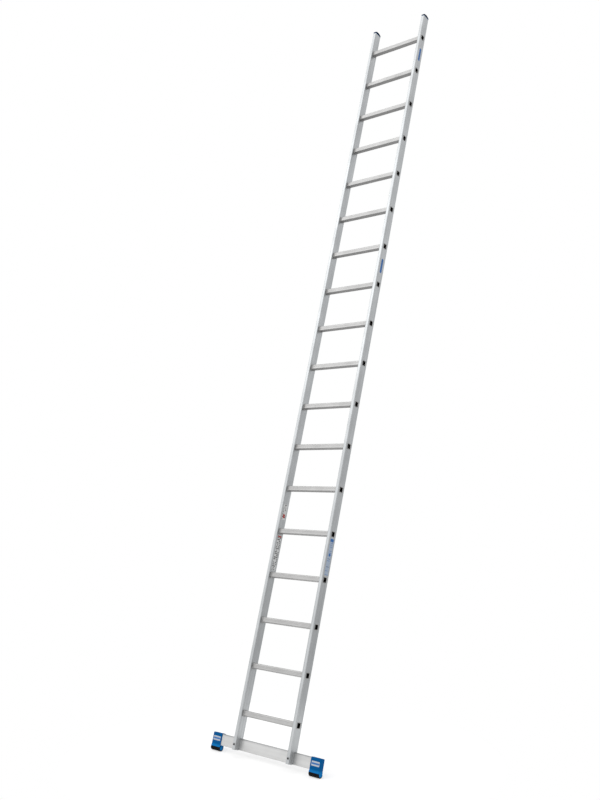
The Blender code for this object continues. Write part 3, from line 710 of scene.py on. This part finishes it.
STILE_FINISH = stile_finish()
RUNG_FINISH = rung_finish()
BORE_FINISH = bore_finish()
BAR_FINISH = bar_finish()
BLUE_FINISH = blue_finish()
RUBBER_FINISH = rubber_finish()
WHITE_FINISH = plate_finish("white_plate_plastic", ((0.42, 0.45, 0.50), (0.37, 0.40, 0.45)), 0.35)
STRIPE_FINISH = plate_finish("blue_stripe_print", ((0.004, 0.10, 0.33), (0.008, 0.12, 0.38)), 0.38)
LABEL_FINISH = plate_finish("pale_label_film", ((0.36, 0.43, 0.53), (0.31, 0.38, 0.48)), 0.3)
GREY_FINISH = plate_finish("grey_label_film", ((0.62, 0.63, 0.63), (0.54, 0.55, 0.55)), 0.35)
TILE_FINISH = plate_finish("dark_tile_print", ((0.028, 0.028, 0.03), (0.045, 0.044, 0.045)), 0.4)
SIGNAL_FINISH = plate_finish("red_band_print", ((0.34, 0.035, 0.03), (0.40, 0.05, 0.045)), 0.4)
ZINC_FINISH = zinc_finish("zinc_steel_plated", 1.0)
BOLT_FINISH = zinc_finish("zinc_steel_blackened", 0.16)


SHARP_ANGLE = radians(38)


def put(name, mesh, finish, slot, *nodes):
    """Lay a piece shaped in the ladder's frame over the CAD model, in place of the nodes it stands for.

    A mesh that already has its finish comes with None.
    """
    mesh.name = name
    mesh.transform(LADDER)
    mesh.shade_smooth()
    mesh.set_sharp_from_angle(angle=SHARP_ANGLE)
    if finish:
        mesh.materials.clear()
        mesh.materials.append(finish)
    piece = in_scene(name, mesh)
    shading = piece.modifiers.new("even shading", "WEIGHTED_NORMAL")
    shading.keep_sharp = True
    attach(piece, "root")
    if nodes:
        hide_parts(*nodes)
    return piece


# ---------------------------------------------------------------- rungs

def rung_mesh():
    """A ribbed tube with plain ends, a swaged collar inside each stile and a flared rim outside it."""
    end = RUNG_HIGH.x
    plain = rectangle(RUNG_DEPTH, RUNG_HEIGHT, RUNG_CORNER)
    faces = (-RIB_PITCH / 2, RIB_PITCH / 2)
    treads = (-RIB_PITCH, 0, RIB_PITCH)
    points, shares = with_grooves(plain, (faces, treads, faces, treads), (RIB_GROOVE_WIDTH,) * 4)

    def ring(rise, ribs):
        return moved_outward(points, [rise - ribs * RIB_GROOVE_DEPTH * share for share in shares])

    rim = STILE_HIGH.x + GAP
    collar = STILE_LOW.x - GAP
    mouth = RIM_RISE * 0.72
    # places along the rung from its end, how far each stands out from the plain tube, and its share of the ribs
    half = [
        (end, mouth, 0), (end - RIM_EASE, RIM_RISE, 0), (rim + RIM_EASE, RIM_RISE, 0),
        (rim, RIM_RISE * 0.8, 0), (rim, 0, 0), (collar, 0, 0),
        (collar, COLLAR_RISE * 0.75, 0), (collar - COLLAR_EASE, COLLAR_RISE, 0),
        (collar - COLLAR_LENGTH * 0.55, COLLAR_RISE, 0), (collar - COLLAR_LENGTH * 0.85, COLLAR_RISE * 0.7, 0.3),
        (collar - COLLAR_LENGTH, SLEEVE, 1),
    ]
    outside = [(ring(rise, ribs), -x) for x, rise, ribs in half]
    outside += [(ring(rise, ribs), x) for x, rise, ribs in reversed(half)]
    bore = [-RUNG_WALL] * len(points)
    flare = [mouth - RUNG_WALL * 0.6] * len(points)
    inside = [(moved_outward(points, flare), end), (moved_outward(points, bore), end - FLARE_LENGTH),
              (moved_outward(points, bore), -end + FLARE_LENGTH), (moved_outward(points, flare), -end)]
    mesh = skin("rung", run(outside + inside, "X"), closed=True)
    inner_skin = mesh.attributes.new("inner_skin", "BOOLEAN", "FACE")
    half_depth = (RUNG_DEPTH - RUNG_WALL) / 2
    half_height = (RUNG_HEIGHT - RUNG_WALL) / 2
    flags = []
    for face in mesh.polygons:
        corners = [mesh.vertices[index].co for index in face.vertices]
        flags.append(all(abs(co.y) < half_depth and abs(co.z) < half_height for co in corners))
    inner_skin.data.foreach_set("value", flags)
    return mesh


put("rungs_ribbed", row_of(rung_mesh(), (RUNG_FINISH, BORE_FINISH)), None, "rung_aluminium", *RUNG_NODES)

# ---------------------------------------------------------------- stiles

def bolt_drill(x, front, rear):
    """A cutter for a bolt's hole through a stile or the bar."""
    hole = shifted(circle(BOLT_RADIUS + BOLT_CLEARANCE), x, BOLT_HEIGHT)
    return prism(hole, front - OVERSHOOT, rear + OVERSHOOT, "Y")


def stile_mesh():
    """The right stile: a hollow drawn section with fine lines, punched for the rungs, notched for the bar."""
    size = STILE_HIGH - STILE_LOW
    side_offsets = [line - size.y / 2 for line in SIDE_LINES]
    edge_offsets = (EDGE_LINE - size.x / 2, size.x / 2 - EDGE_LINE)
    points, shares = with_grooves(
        rectangle(size.x, size.y, STILE_CORNER), (side_offsets, edge_offsets, side_offsets, edge_offsets),
        (LINE_WIDTH, EDGE_LINE_WIDTH) * 2)
    tube = drawn_tube(points, shares, STILE_WALL, 0, size.z, "Z")
    tube = moved(tube, STILE_MIDDLE.x, STILE_MIDDLE.y, 0)

    inside, outside = STILE_LOW.x - OVERSHOOT, STILE_HIGH.x + OVERSHOOT
    hole = rectangle(RUNG_DEPTH + 2 * GAP, RUNG_HEIGHT + 2 * GAP, RUNG_CORNER + GAP)
    punches = row_of(prism(hole, inside, outside, "X"), (STILE_FINISH,))
    notch_low = Vector((BAR_LOW.y - GAP, -OVERSHOOT))
    notch_high = Vector((STILE_HIGH.y + OVERSHOOT, BAR_HIGH.z + GAP))
    notch = shifted(rectangle(*(notch_high - notch_low), NOTCH_CORNER), *((notch_low + notch_high) / 2))
    notch = prism(notch, inside, outside, "X")
    return worked(tube, cut=[punches, notch, bolt_drill(STILE_MIDDLE.x, STILE_LOW.y, STILE_HIGH.y)])


stile = stile_mesh()
put("stile_left_drawn", mirrored(stile), STILE_FINISH, "stile_aluminium", "stile_left")
put("stile_right_drawn", stile, STILE_FINISH, "stile_aluminium", "stile_right")

# ---------------------------------------------------------------- stabiliser bar

def bar_mesh():
    size = BAR_HIGH - BAR_LOW
    edge_line, inner_line = size.z / 2 - BAR_LINE, size.z / 2 - BAR_LINE - BAR_LINE_PITCH
    line_offsets = (-edge_line, -inner_line, inner_line, edge_line)
    points, shares = with_grooves(
        rectangle(size.y, size.z, BAR_CORNER), (line_offsets, (), line_offsets, ()), (LINE_WIDTH,) * 4)
    tube = drawn_tube(points, shares, BAR_WALL, -BAR_HIGH.x, BAR_HIGH.x, "X")
    tube = moved(tube, 0, BAR_MIDDLE.y, BAR_MIDDLE.z)
    return worked(tube, cut=[bolt_drill(side * STILE_MIDDLE.x, BAR_LOW.y, BAR_HIGH.y) for side in (-1, 1)])


put("stabiliser_bar_drawn", bar_mesh(), BAR_FINISH, "bar_aluminium", "stabiliser_bar")

# ---------------------------------------------------------------- feet

SOLE_AXIS = Vector(((SOLE_LOW.x + SOLE_HIGH.x) / 2, (SOLE_LOW.y + SOLE_HIGH.y) / 2, SOLE_LOW.z + SOLE_RADIUS))


def about_sole(loop):
    return shifted(loop, SOLE_AXIS.y, SOLE_AXIS.z)


def cap_mesh():
    """The right foot's moulded cap: socket, flared skirt, sole core and end plate."""
    half = BAR_MIDDLE.y - BAR_LOW.y + GAP + CAP_WALL
    waist = BAR_LOW.z - GAP - CAP_WALL + CAP_WAIST_RISE
    skirt_half = (CAP_HIGH.y - CAP_LOW.y) / 2
    skirt = SOLE_AXIS.z + SKIRT_RISE
    top = CAP_HIGH.z
    outline = rounded_loop([
        (skirt_half, skirt, SKIRT_EDGE), (half, waist, CAP_WAIST_RADIUS), (half, top, CAP_CORNER),
        (-half, top, CAP_CORNER), (-half, waist, CAP_WAIST_RADIUS), (-skirt_half, skirt, SKIRT_EDGE),
    ])
    outline = shifted(outline, BAR_MIDDLE.y, 0)
    body = skin("cap", run(eased(outline, CAP_LOW.x, CAP_HIGH.x, CAP_START_ROUNDING, CAP_END_ROUNDING, 6), "X"))
    core_radius = SOLE_RADIUS - SOLE_THICKNESS - GAP
    core = skin("core", run(eased(
        about_sole(circle(core_radius + OVERLAP, FINE_ARC_STEPS)), CAP_LOW.x + OVERLAP, CAP_HIGH.x - CORE_INSET,
        CORE_EDGE, CORE_EDGE), "X"))
    plate_loop = shifted(about_sole(circle(END_PLATE_RADIUS, FINE_ARC_STEPS)), 0, END_PLATE_RAISE)
    plate = skin("plate", run(eased(
        plate_loop, CAP_HIGH.x - END_PLATE_THICKNESS - 0.0002, CAP_HIGH.x - END_PLATE_INSET, 0.0003, 0.0012), "X"))

    socket = shifted(rectangle(BAR_HIGH.y - BAR_LOW.y + 2 * GAP, BAR_HIGH.z - BAR_LOW.z + 2 * GAP, SOCKET_CORNER),
                     BAR_MIDDLE.y, BAR_MIDDLE.z)
    socket = prism(socket, CAP_LOW.x - OVERSHOOT, BAR_HIGH.x + GAP, "X")
    ring = about_sole(open_ring(core_radius, SOLE_RADIUS + GAP, SOLE_SLOT - 0.02))
    ring = prism(ring, CAP_LOW.x - OVERSHOOT, CAP_HIGH.x - END_PLATE_THICKNESS, "X")
    low, high = reach("foot_plate_right")
    recess = shifted(rectangle(high.x - low.x + 2 * GAP, high.z - low.z + 2 * GAP, PLATE_CORNER + GAP),
                     (low.x + high.x) / 2, (low.z + high.z) / 2)
    recess_floor = BAR_MIDDLE.y - half + PLATE_RECESS
    recess = prism(recess, CAP_LOW.y - OVERSHOOT, recess_floor, "Y")
    hole = shifted(circle(SCREW_HOLE_RADIUS), CAP_HIGH.x - SCREW_INSET, BAR_MIDDLE.z)
    hole = prism(hole, BAR_MIDDLE.y, CAP_HIGH.y + OVERSHOOT, "Y")
    return worked(body, joined=[core, plate], cut=[socket, ring, recess, hole])


def sole_mesh():
    """The right foot's rubber: a grooved open ring with a lip under the end plate."""
    start = CAP_LOW.x
    end = CAP_HIGH.x - END_PLATE_THICKNESS - GAP
    inner = SOLE_RADIUS - SOLE_THICKNESS
    pitch = (end - start) / SOLE_GROOVES
    profile = [(start, -SOLE_EDGE), (start + SOLE_EDGE, 0)]
    for groove in range(1, SOLE_GROOVES):
        middle = start + groove * pitch
        profile += [(middle + shift, rise) for shift, rise in SOLE_GROOVE_PROFILE]
    profile.append((end, 0))
    loops = [(about_sole(open_ring(inner, SOLE_RADIUS + rise, SOLE_SLOT)), x) for x, rise in profile]
    ring = skin("sole", run(loops, "X"))
    lip_radius = SOLE_RADIUS - LIP_INSET
    lip_slot = acos(LIP_HALF_OPENING / lip_radius)
    lip_profile = ((end - LIP_LAP, 0), (CAP_HIGH.x - 0.0012, 0), (CAP_HIGH.x - 0.0004, -0.0004), (CAP_HIGH.x, -0.0012))
    lip = skin("lip", run(
        [(about_sole(open_ring(inner, lip_radius + rise, lip_slot)), x) for x, rise in lip_profile], "X"))
    space = shifted(about_sole(circle(END_PLATE_RADIUS + GAP, FINE_ARC_STEPS)), 0, END_PLATE_RAISE)
    space = prism(space, end, CAP_HIGH.x + OVERSHOOT, "X")
    return worked(ring, joined=[lip], cut=[space])


def plate_meshes():
    """The pale plate on the front of the right cap, and the plain blue stripe across it."""
    low, high = reach("foot_plate_right")
    middle = (low + high) / 2
    face = shifted(rectangle(high.x - low.x, high.z - low.z, PLATE_CORNER), middle.x, middle.z)
    plate = skin("plate", run(eased(face, low.y, high.y, 0.0003, 0.0001, 3), "Y"))
    stripe = rectangle(high.x - low.x - 2 * STRIPE_MARGIN, (high.z - low.z) * STRIPE_SHARE, 0.001)
    stripe = shifted(stripe, middle.x, middle.z)
    band = skin("stripe", run(eased(stripe, low.y - STRIPE_RISE, low.y + 0.0003, 0.00008, 0.00008, 2), "Y"))
    return plate, band


cap = cap_mesh()
sole = sole_mesh()
plate, stripe = plate_meshes()
for side, made in BOTH_SIDES:
    put(f"foot_cap_{side}_moulded", made(cap), BLUE_FINISH, "blue_plastic", f"foot_cap_{side}")
    put(f"foot_sole_{side}_grooved", made(sole), RUBBER_FINISH, "black_rubber", f"foot_sole_{side}")
    put(f"foot_plate_{side}_plain", made(plate), WHITE_FINISH, "plate_plastic", f"foot_plate_{side}")
    put(f"foot_plate_{side}_stripe", made(stripe), STRIPE_FINISH, "blue_plastic")

# ---------------------------------------------------------------- stile ends

def plug_mesh():
    """The rim over a stile's upper end, with its hollow tongue inside the stile."""
    low, high = reach("top_plug_right")
    middle = (low + high) / 2
    rim_low = STILE_HIGH.z + GAP
    rim = shifted(rectangle(high.x - low.x, high.y - low.y, STILE_CORNER), middle.x, middle.y)
    margin = STILE_WALL + PLUG_CLEARANCE + GAP
    tongue = shrunk(rim, margin)
    hollow = shrunk(rim, margin + PLUG_WALL)
    loops = [(hollow, rim_low), (hollow, low.z), (tongue, low.z), (tongue, rim_low), (rim, rim_low),
             (rim, high.z - PLUG_ROUNDING), (shrunk(rim, PLUG_ROUNDING * 0.3), high.z - PLUG_ROUNDING * 0.3),
             (shrunk(rim, PLUG_ROUNDING), high.z)]
    return skin("plug", run(loops, "Z"))


def pad_mesh():
    """The domed rubber pad on top of the plug, arched from front to rear."""
    low, high = reach("top_pad_right")
    base = reach("top_plug_right")[1].z + GAP
    half = (high.y - low.y) / 2
    middle_x, middle_y = (low.x + high.x) / 2, (low.y + high.y) / 2
    width = (high.x - low.x) / 2
    shoulder = (high.z - base) * PAD_SHOULDER_SHARE
    loops = []
    for station in range(PAD_STATIONS + 1):
        share = -cos(pi * station / PAD_STATIONS)  # closer together near the ends
        arch = shoulder + (high.z - base - shoulder) * (1 - share ** 2)
        from_end = min(1.0, (1 - abs(share)) * half / PAD_END_ROUNDING)
        fall = 1 - (1 - (1 - from_end) ** 2) ** 0.5
        height = arch - PAD_END_ROUNDING * fall
        narrow = width - PAD_END_DRAW * fall
        corner = min(PAD_CORNER, height * 0.48)
        loops.append((shifted(rounded_loop([
            (narrow, 0, PAD_FOOT_EDGE), (narrow, height, corner),
            (-narrow, height, corner), (-narrow, 0, PAD_FOOT_EDGE),
        ]), middle_x, base), middle_y + share * half))
    return skin("pad", run(loops, "Y"))


plug = plug_mesh()
pad = pad_mesh()
for side, made in BOTH_SIDES:
    put(f"top_plug_{side}_rim", made(plug), BLUE_FINISH, "blue_plastic", f"top_plug_{side}")
    put(f"top_pad_{side}_domed", made(pad), RUBBER_FINISH, "black_rubber", f"top_pad_{side}")

# ---------------------------------------------------------------- bolts and screws

def pin_mesh(node, radius, thread_length, faces_front=True):
    """A pin with a domed head and a hexagon socket, in the place of a CAD node."""
    low, high = reach(node)
    middle = (low + high) / 2
    head_radius = (high.z - low.z) / 2
    head = head_radius * 0.56
    profile = [(hexagon(SOCKET_ACROSS_FLATS), head * 0.30), (hexagon(SOCKET_ACROSS_FLATS), 0.00002)]
    dome_steps = 6
    for step in range(dome_steps + 1):
        angle = SOCKET_DOME_ANGLE + (pi / 2 - SOCKET_DOME_ANGLE) * step / dome_steps
        profile.append((circle(head_radius * sin(angle)), head * (1 - cos(angle) / cos(SOCKET_DOME_ANGLE))))
    profile += [(circle(head_radius * 0.97), head), (circle(radius), head)]
    length = high.y - low.y
    for turn in range(int(thread_length / THREAD_PITCH)):
        start = length - thread_length + turn * THREAD_PITCH
        profile += [(circle(radius), start + 0.0002), (circle(radius * 0.88), start + THREAD_PITCH * 0.6)]
    profile += [(circle(radius * 0.97), length - 0.0005), (circle(radius * 0.8), length)]
    sign, start = (1, low.y) if faces_front else (-1, high.y)
    loops = [(shifted(loop, middle.x, middle.z), start + sign * place) for loop, place in profile]
    return skin("pin", run(loops, "Y"))


def nut_mesh(node):
    """A hexagon nut with turned corners."""
    low, high = reach(node)
    middle = (low + high) / 2
    flats = min(high.x - low.x, high.z - low.z)
    outer = hexagon(flats)
    turned = [point.normalized() * min(point.length, flats * 0.52) for point in outer]
    bore = circle(BOLT_RADIUS + NUT_CLEARANCE)
    mouth = circle(BOLT_RADIUS + NUT_CHAMFER)
    low_edge, high_edge = low.y + NUT_CHAMFER, high.y - NUT_CHAMFER
    pairs = [(turned, low.y), (outer, low_edge), (outer, high_edge), (turned, high.y),
             (mouth, high.y), (bore, high_edge), (bore, low_edge), (mouth, low.y)]
    return skin("nut", run([(shifted(loop, middle.x, middle.z), y) for loop, y in pairs], "Y"), closed=True)


def ring_mesh(node):
    """A washer or a spacer with its edges broken."""
    low, high = reach(node)
    middle = (low + high) / 2
    radius = (high.z - low.z) / 2
    hole = BOLT_RADIUS + BOLT_CLEARANCE
    low_edge, high_edge = low.y + WASHER_EDGE, high.y - WASHER_EDGE
    pairs = [(radius - WASHER_EDGE, low.y), (radius, low_edge), (radius, high_edge), (radius - WASHER_EDGE, high.y),
             (hole + WASHER_EDGE, high.y), (hole, high_edge), (hole, low_edge), (hole + WASHER_EDGE, low.y)]
    loops = [(shifted(circle(size, RING_SIDES), middle.x, middle.z), y) for size, y in pairs]
    return skin("ring", run(loops, "Y"), closed=True)


for side in ("left", "right"):
    put(f"bar_bolt_{side}_socketed", pin_mesh(f"bar_bolt_{side}", BOLT_RADIUS, BOLT_THREAD), BOLT_FINISH,
        "zinc_steel", f"bar_bolt_{side}")
    put(f"foot_screw_{side}_socketed", pin_mesh(f"foot_screw_{side}", SCREW_RADIUS, SCREW_THREAD, False),
        ZINC_FINISH, "zinc_steel", f"foot_screw_{side}")
    put(f"bar_nut_{side}_hexagon", nut_mesh(f"bar_nut_{side}"), ZINC_FINISH, "zinc_steel", f"bar_nut_{side}")
    for ring in ("bar_washer_front", "bar_spacer", "bar_washer_rear"):
        put(f"{ring}_{side}_turned", ring_mesh(f"{ring}_{side}"), ZINC_FINISH, "zinc_steel", f"{ring}_{side}")

# ---------------------------------------------------------------- plain labels

OUTER_SIDE = STILE_HIGH.x  # of the right stile
INNER_SIDE = -STILE_LOW.x  # of the left stile, which faces the same way
LABEL_WIDTH = 0.036
LABEL_MARGIN = 0.003  # above and below a label's tiles
FILM_THICKNESS = 0.0002
FILM_SINK = 0.0001
FILM_CORNER = 0.003
BAND_WIDTH = LABEL_WIDTH - 0.004
BAND_INSET = 0.004  # of a label's band from the label's upper end


def put_film(name, x, width, low_z, high_z, layers, finish, slot="blue_plastic"):
    """A thin film with round corners on a stile's right-hand side; more layers lie over the film beneath."""
    corner = min(FILM_CORNER, width * 0.3, (high_z - low_z) * 0.3)
    film = shifted(rectangle(width, high_z - low_z, corner), STILE_HIGH.y / 2, (low_z + high_z) / 2)
    base = x - FILM_SINK + (FILM_THICKNESS if layers > 1 else 0)
    put(name, prism(film, base, x + layers * FILM_THICKNESS, "X"), finish, slot)


def grid_tree():
    """Copies of a small tile over a grid of rows and columns, some of them left out."""
    tree = tree_with("tiles_on_a_label", (
        ("Tile", "Geometry"), ("Across", "Float"), ("Upward", "Float"), ("Columns", "Int"), ("Rows", "Int"),
        ("Middle", "Vector"), ("Share", "Float"), ("Seed", "Int"), ("Finish", "Material")), "Tiles")
    kinds = ("NodeGroupInput", "GeometryNodeMeshGrid", "GeometryNodeTransform", "FunctionNodeRandomValue",
             "GeometryNodeInstanceOnPoints", "GeometryNodeRealizeInstances", "GeometryNodeSetMaterial",
             "NodeGroupOutput")
    entry, grid, place, chance, copies, realize, paint, leaving = [tree.nodes.new(kind) for kind in kinds]
    chance.data_type = "BOOLEAN"
    # the grid lies in X and Y, so it is stood up against the stile's side
    place.inputs["Rotation"].default_value = (pi / 2, 0, pi / 2)
    wire(tree, (
        (entry, "Across", grid, "Size X"), (entry, "Upward", grid, "Size Y"), (entry, "Columns", grid, "Vertices X"),
        (entry, "Rows", grid, "Vertices Y"), (grid, "Mesh", place, "Geometry"),
        (entry, "Middle", place, "Translation"), (entry, "Share", chance, "Probability"),
        (entry, "Seed", chance, "Seed"), (place, "Geometry", copies, "Points"), (chance, 3, copies, "Selection"),
        (entry, "Tile", copies, "Instance"), (copies, "Instances", realize, 0), (realize, 0, paint, "Geometry"),
        (entry, "Finish", paint, "Material"), (paint, 0, leaving, 0)))
    return tree


GRID_TREE = grid_tree()


def put_tiles(name, x, low_z, high_z, tile_width, tile_height, columns, rows, share, seed, finish, slot):
    """A grid of plain tiles within a label, as one mesh; share is how many of them are there."""
    tile = rectangle(tile_width, tile_height, min(tile_width, tile_height) * 0.25, 2)
    put(name, grown(prism(tile, 0, FILM_THICKNESS * 0.6, "X"), GRID_TREE, {
        "Across": BAND_WIDTH - tile_width, "Upward": high_z - low_z - tile_height - 2 * LABEL_MARGIN,
        "Columns": columns, "Rows": rows, "Share": share, "Seed": seed, "Finish": finish,
        "Middle": (x + FILM_THICKNESS * 0.7, STILE_HIGH.y / 2, (low_z + high_z) / 2),
    }), None, slot)


def rung_height(number):
    return RUNG_MIDDLE.z + (number - 1) * RUNG_PITCH


low_z, high_z = rung_height(4) + 0.028, rung_height(5) - 0.026
band_top = high_z - BAND_INSET
put_film("outer_label_film", OUTER_SIDE, LABEL_WIDTH, low_z, high_z, 1, LABEL_FINISH, "plate_plastic")
put_film("outer_label_band", OUTER_SIDE, BAND_WIDTH, high_z - 0.022, band_top, 2, STRIPE_FINISH)
put_tiles("outer_label_rules", OUTER_SIDE, low_z, high_z - 0.026, 0.026, 0.0022, 2, 17, 0.5, 3,
          STRIPE_FINISH, "blue_plastic")
put_film("outer_label_block", OUTER_SIDE, 0.014, high_z - 0.110, high_z - 0.094, 3, STRIPE_FINISH)
put_film("inner_label_film", INNER_SIDE, LABEL_WIDTH, low_z, high_z, 1, GREY_FINISH, "plate_plastic")
put_tiles("inner_label_tiles", INNER_SIDE, low_z, high_z, 0.0070, 0.0072, 4, 20, 0.66, 5, TILE_FINISH, "black_rubber")
put_film("inner_label_band", INNER_SIDE, BAND_WIDTH, high_z - 0.014, band_top, 3, SIGNAL_FINISH)
low_z, high_z = rung_height(5) + 0.075, rung_height(5) + 0.175
put_film("small_label_film", INNER_SIDE, LABEL_WIDTH, low_z, high_z, 1, GREY_FINISH, "plate_plastic")
put_tiles("small_label_tiles", INNER_SIDE, low_z, high_z, 0.0062, 0.0062, 4, 9, 0.4, 11, TILE_FINISH, "black_rubber")
put_film("small_label_band", INNER_SIDE, 0.018, low_z + 0.012, low_z + 0.036, 3, SIGNAL_FINISH)
for name, number in (("upper_mark", 17), ("middle_mark", 11)):
    put_film(f"{name}_bar", OUTER_SIDE, 0.020, rung_height(number) + 0.085, rung_height(number) + 0.185, 1,
             STRIPE_FINISH)

# ---------------------------------------------------------------- floor, light and camera

FLOOR_RADIUS = 1.3
FLOOR_SHIFT = 0.2  # of its middle, rearward from the feet
SKY = ((0.0, 0.66), (0.25, 0.51), (0.40, 0.57), (0.51, 0.95), (1.0, 1.0))  # brightness from straight down to up
BANK_DIRECTION = (-0.56, -0.50, 0.66)
BANK = (("From Min", 0.70), ("From Max", 1.08), ("To Min", 1.0), ("To Max", 1.80))
SOFTBOX_PLACE = (-5.0, -5.0, 9.0)
SOFTBOX_TARGET = Vector((0, 0.3, 2.8))
SOFTBOX_SIZE = 6.0
SOFTBOX_POWER = 95
CAMERA_PLACE = (3.818, -4.8781, 1.7152)
CAMERA_TURN = (radians(94.147), 0, radians(40.487))
CAMERA_LENS = 42.399


def floor():
    mesh = bpy.data.meshes.new("floor")
    work = bmesh.new()
    bmesh.ops.create_circle(work, cap_ends=True, segments=96, radius=FLOOR_RADIUS)
    bmesh.ops.translate(work, verts=work.verts, vec=(0, CAD_BOUNDS[0].y + FLOOR_SHIFT, 0))
    work.to_mesh(mesh)
    work.free()
    made = in_scene("studio_floor", mesh)
    material = bpy.data.materials.new("pale_floor")
    material.use_nodes = True
    shader = material.node_tree.nodes["Principled BSDF"]
    shader.inputs["Base Color"].default_value = (0.52, 0.52, 0.52, 1)
    shader.inputs["Roughness"].default_value = 0.9
    shader.inputs["Specular IOR Level"].default_value = 0.0
    # a lit table: its own glow softens the shadows on it
    shader.inputs["Emission Color"].default_value = (1, 1, 1, 1)
    shader.inputs["Emission Strength"].default_value = 0.5
    mesh.materials.append(material)


def surroundings():
    """A white studio that is darker below the horizon, and plain white where it is looked at."""
    world = bpy.data.worlds.new("studio")
    bpy.context.scene.world = world
    world.use_nodes = True
    tree = world.node_tree
    tree.nodes.clear()
    kinds = ("ShaderNodeTexCoord", "ShaderNodeSeparateXYZ", "ShaderNodeMapRange", "ShaderNodeValToRGB",
             "ShaderNodeVectorMath", "ShaderNodeMapRange", "ShaderNodeBackground", "ShaderNodeBackground",
             "ShaderNodeLightPath", "ShaderNodeMixShader", "ShaderNodeOutputWorld")
    place, split, height, ramp, facing, bank, light, white, seen, mix, out = [tree.nodes.new(kind) for kind in kinds]
    height.inputs["From Min"].default_value = -1
    while len(ramp.color_ramp.elements) < len(SKY):
        ramp.color_ramp.elements.new(0.5)
    for element, (position, value) in zip(ramp.color_ramp.elements, SKY):
        element.position = position
        element.color = (value, value, value, 1)
    # a wide bank of softboxes high on the front left
    facing.operation = "DOT_PRODUCT"
    facing.inputs[1].default_value = BANK_DIRECTION
    for name, number in BANK:
        bank.inputs[name].default_value = number
    white.inputs["Color"].default_value = (1, 1, 1, 1)
    wire(tree, (
        (place, "Generated", split, 0), (split, "Z", height, "Value"), (height, "Result", ramp, "Fac"),
        (ramp, "Color", light, "Color"), (place, "Generated", facing, 0), (facing, "Value", bank, "Value"),
        (bank, "Result", light, "Strength"), (seen, "Is Camera Ray", mix, 0), (light, 0, mix, 1), (white, 0, mix, 2),
        (mix, 0, out, "Surface")))


def softbox():
    data = bpy.data.lights.new("front_softbox", "AREA")
    data.shape = "SQUARE"
    data.size = SOFTBOX_SIZE
    data.energy = SOFTBOX_POWER
    made = in_scene("front_softbox", data)
    made.location = SOFTBOX_PLACE
    made.rotation_euler = (SOFTBOX_TARGET - made.location).to_track_quat("-Z", "Y").to_euler()
    made.visible_camera = False


def camera():
    data = bpy.data.cameras.new("camera")
    data.sensor_width = 36
    data.lens = CAMERA_LENS
    made = in_scene("camera", data)
    made.location = CAMERA_PLACE
    made.rotation_euler = CAMERA_TURN
    bpy.context.scene.camera = made


floor()
surroundings()
softbox()
camera()
bpy.context.scene.view_settings.view_transform = "Standard"

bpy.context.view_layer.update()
import json
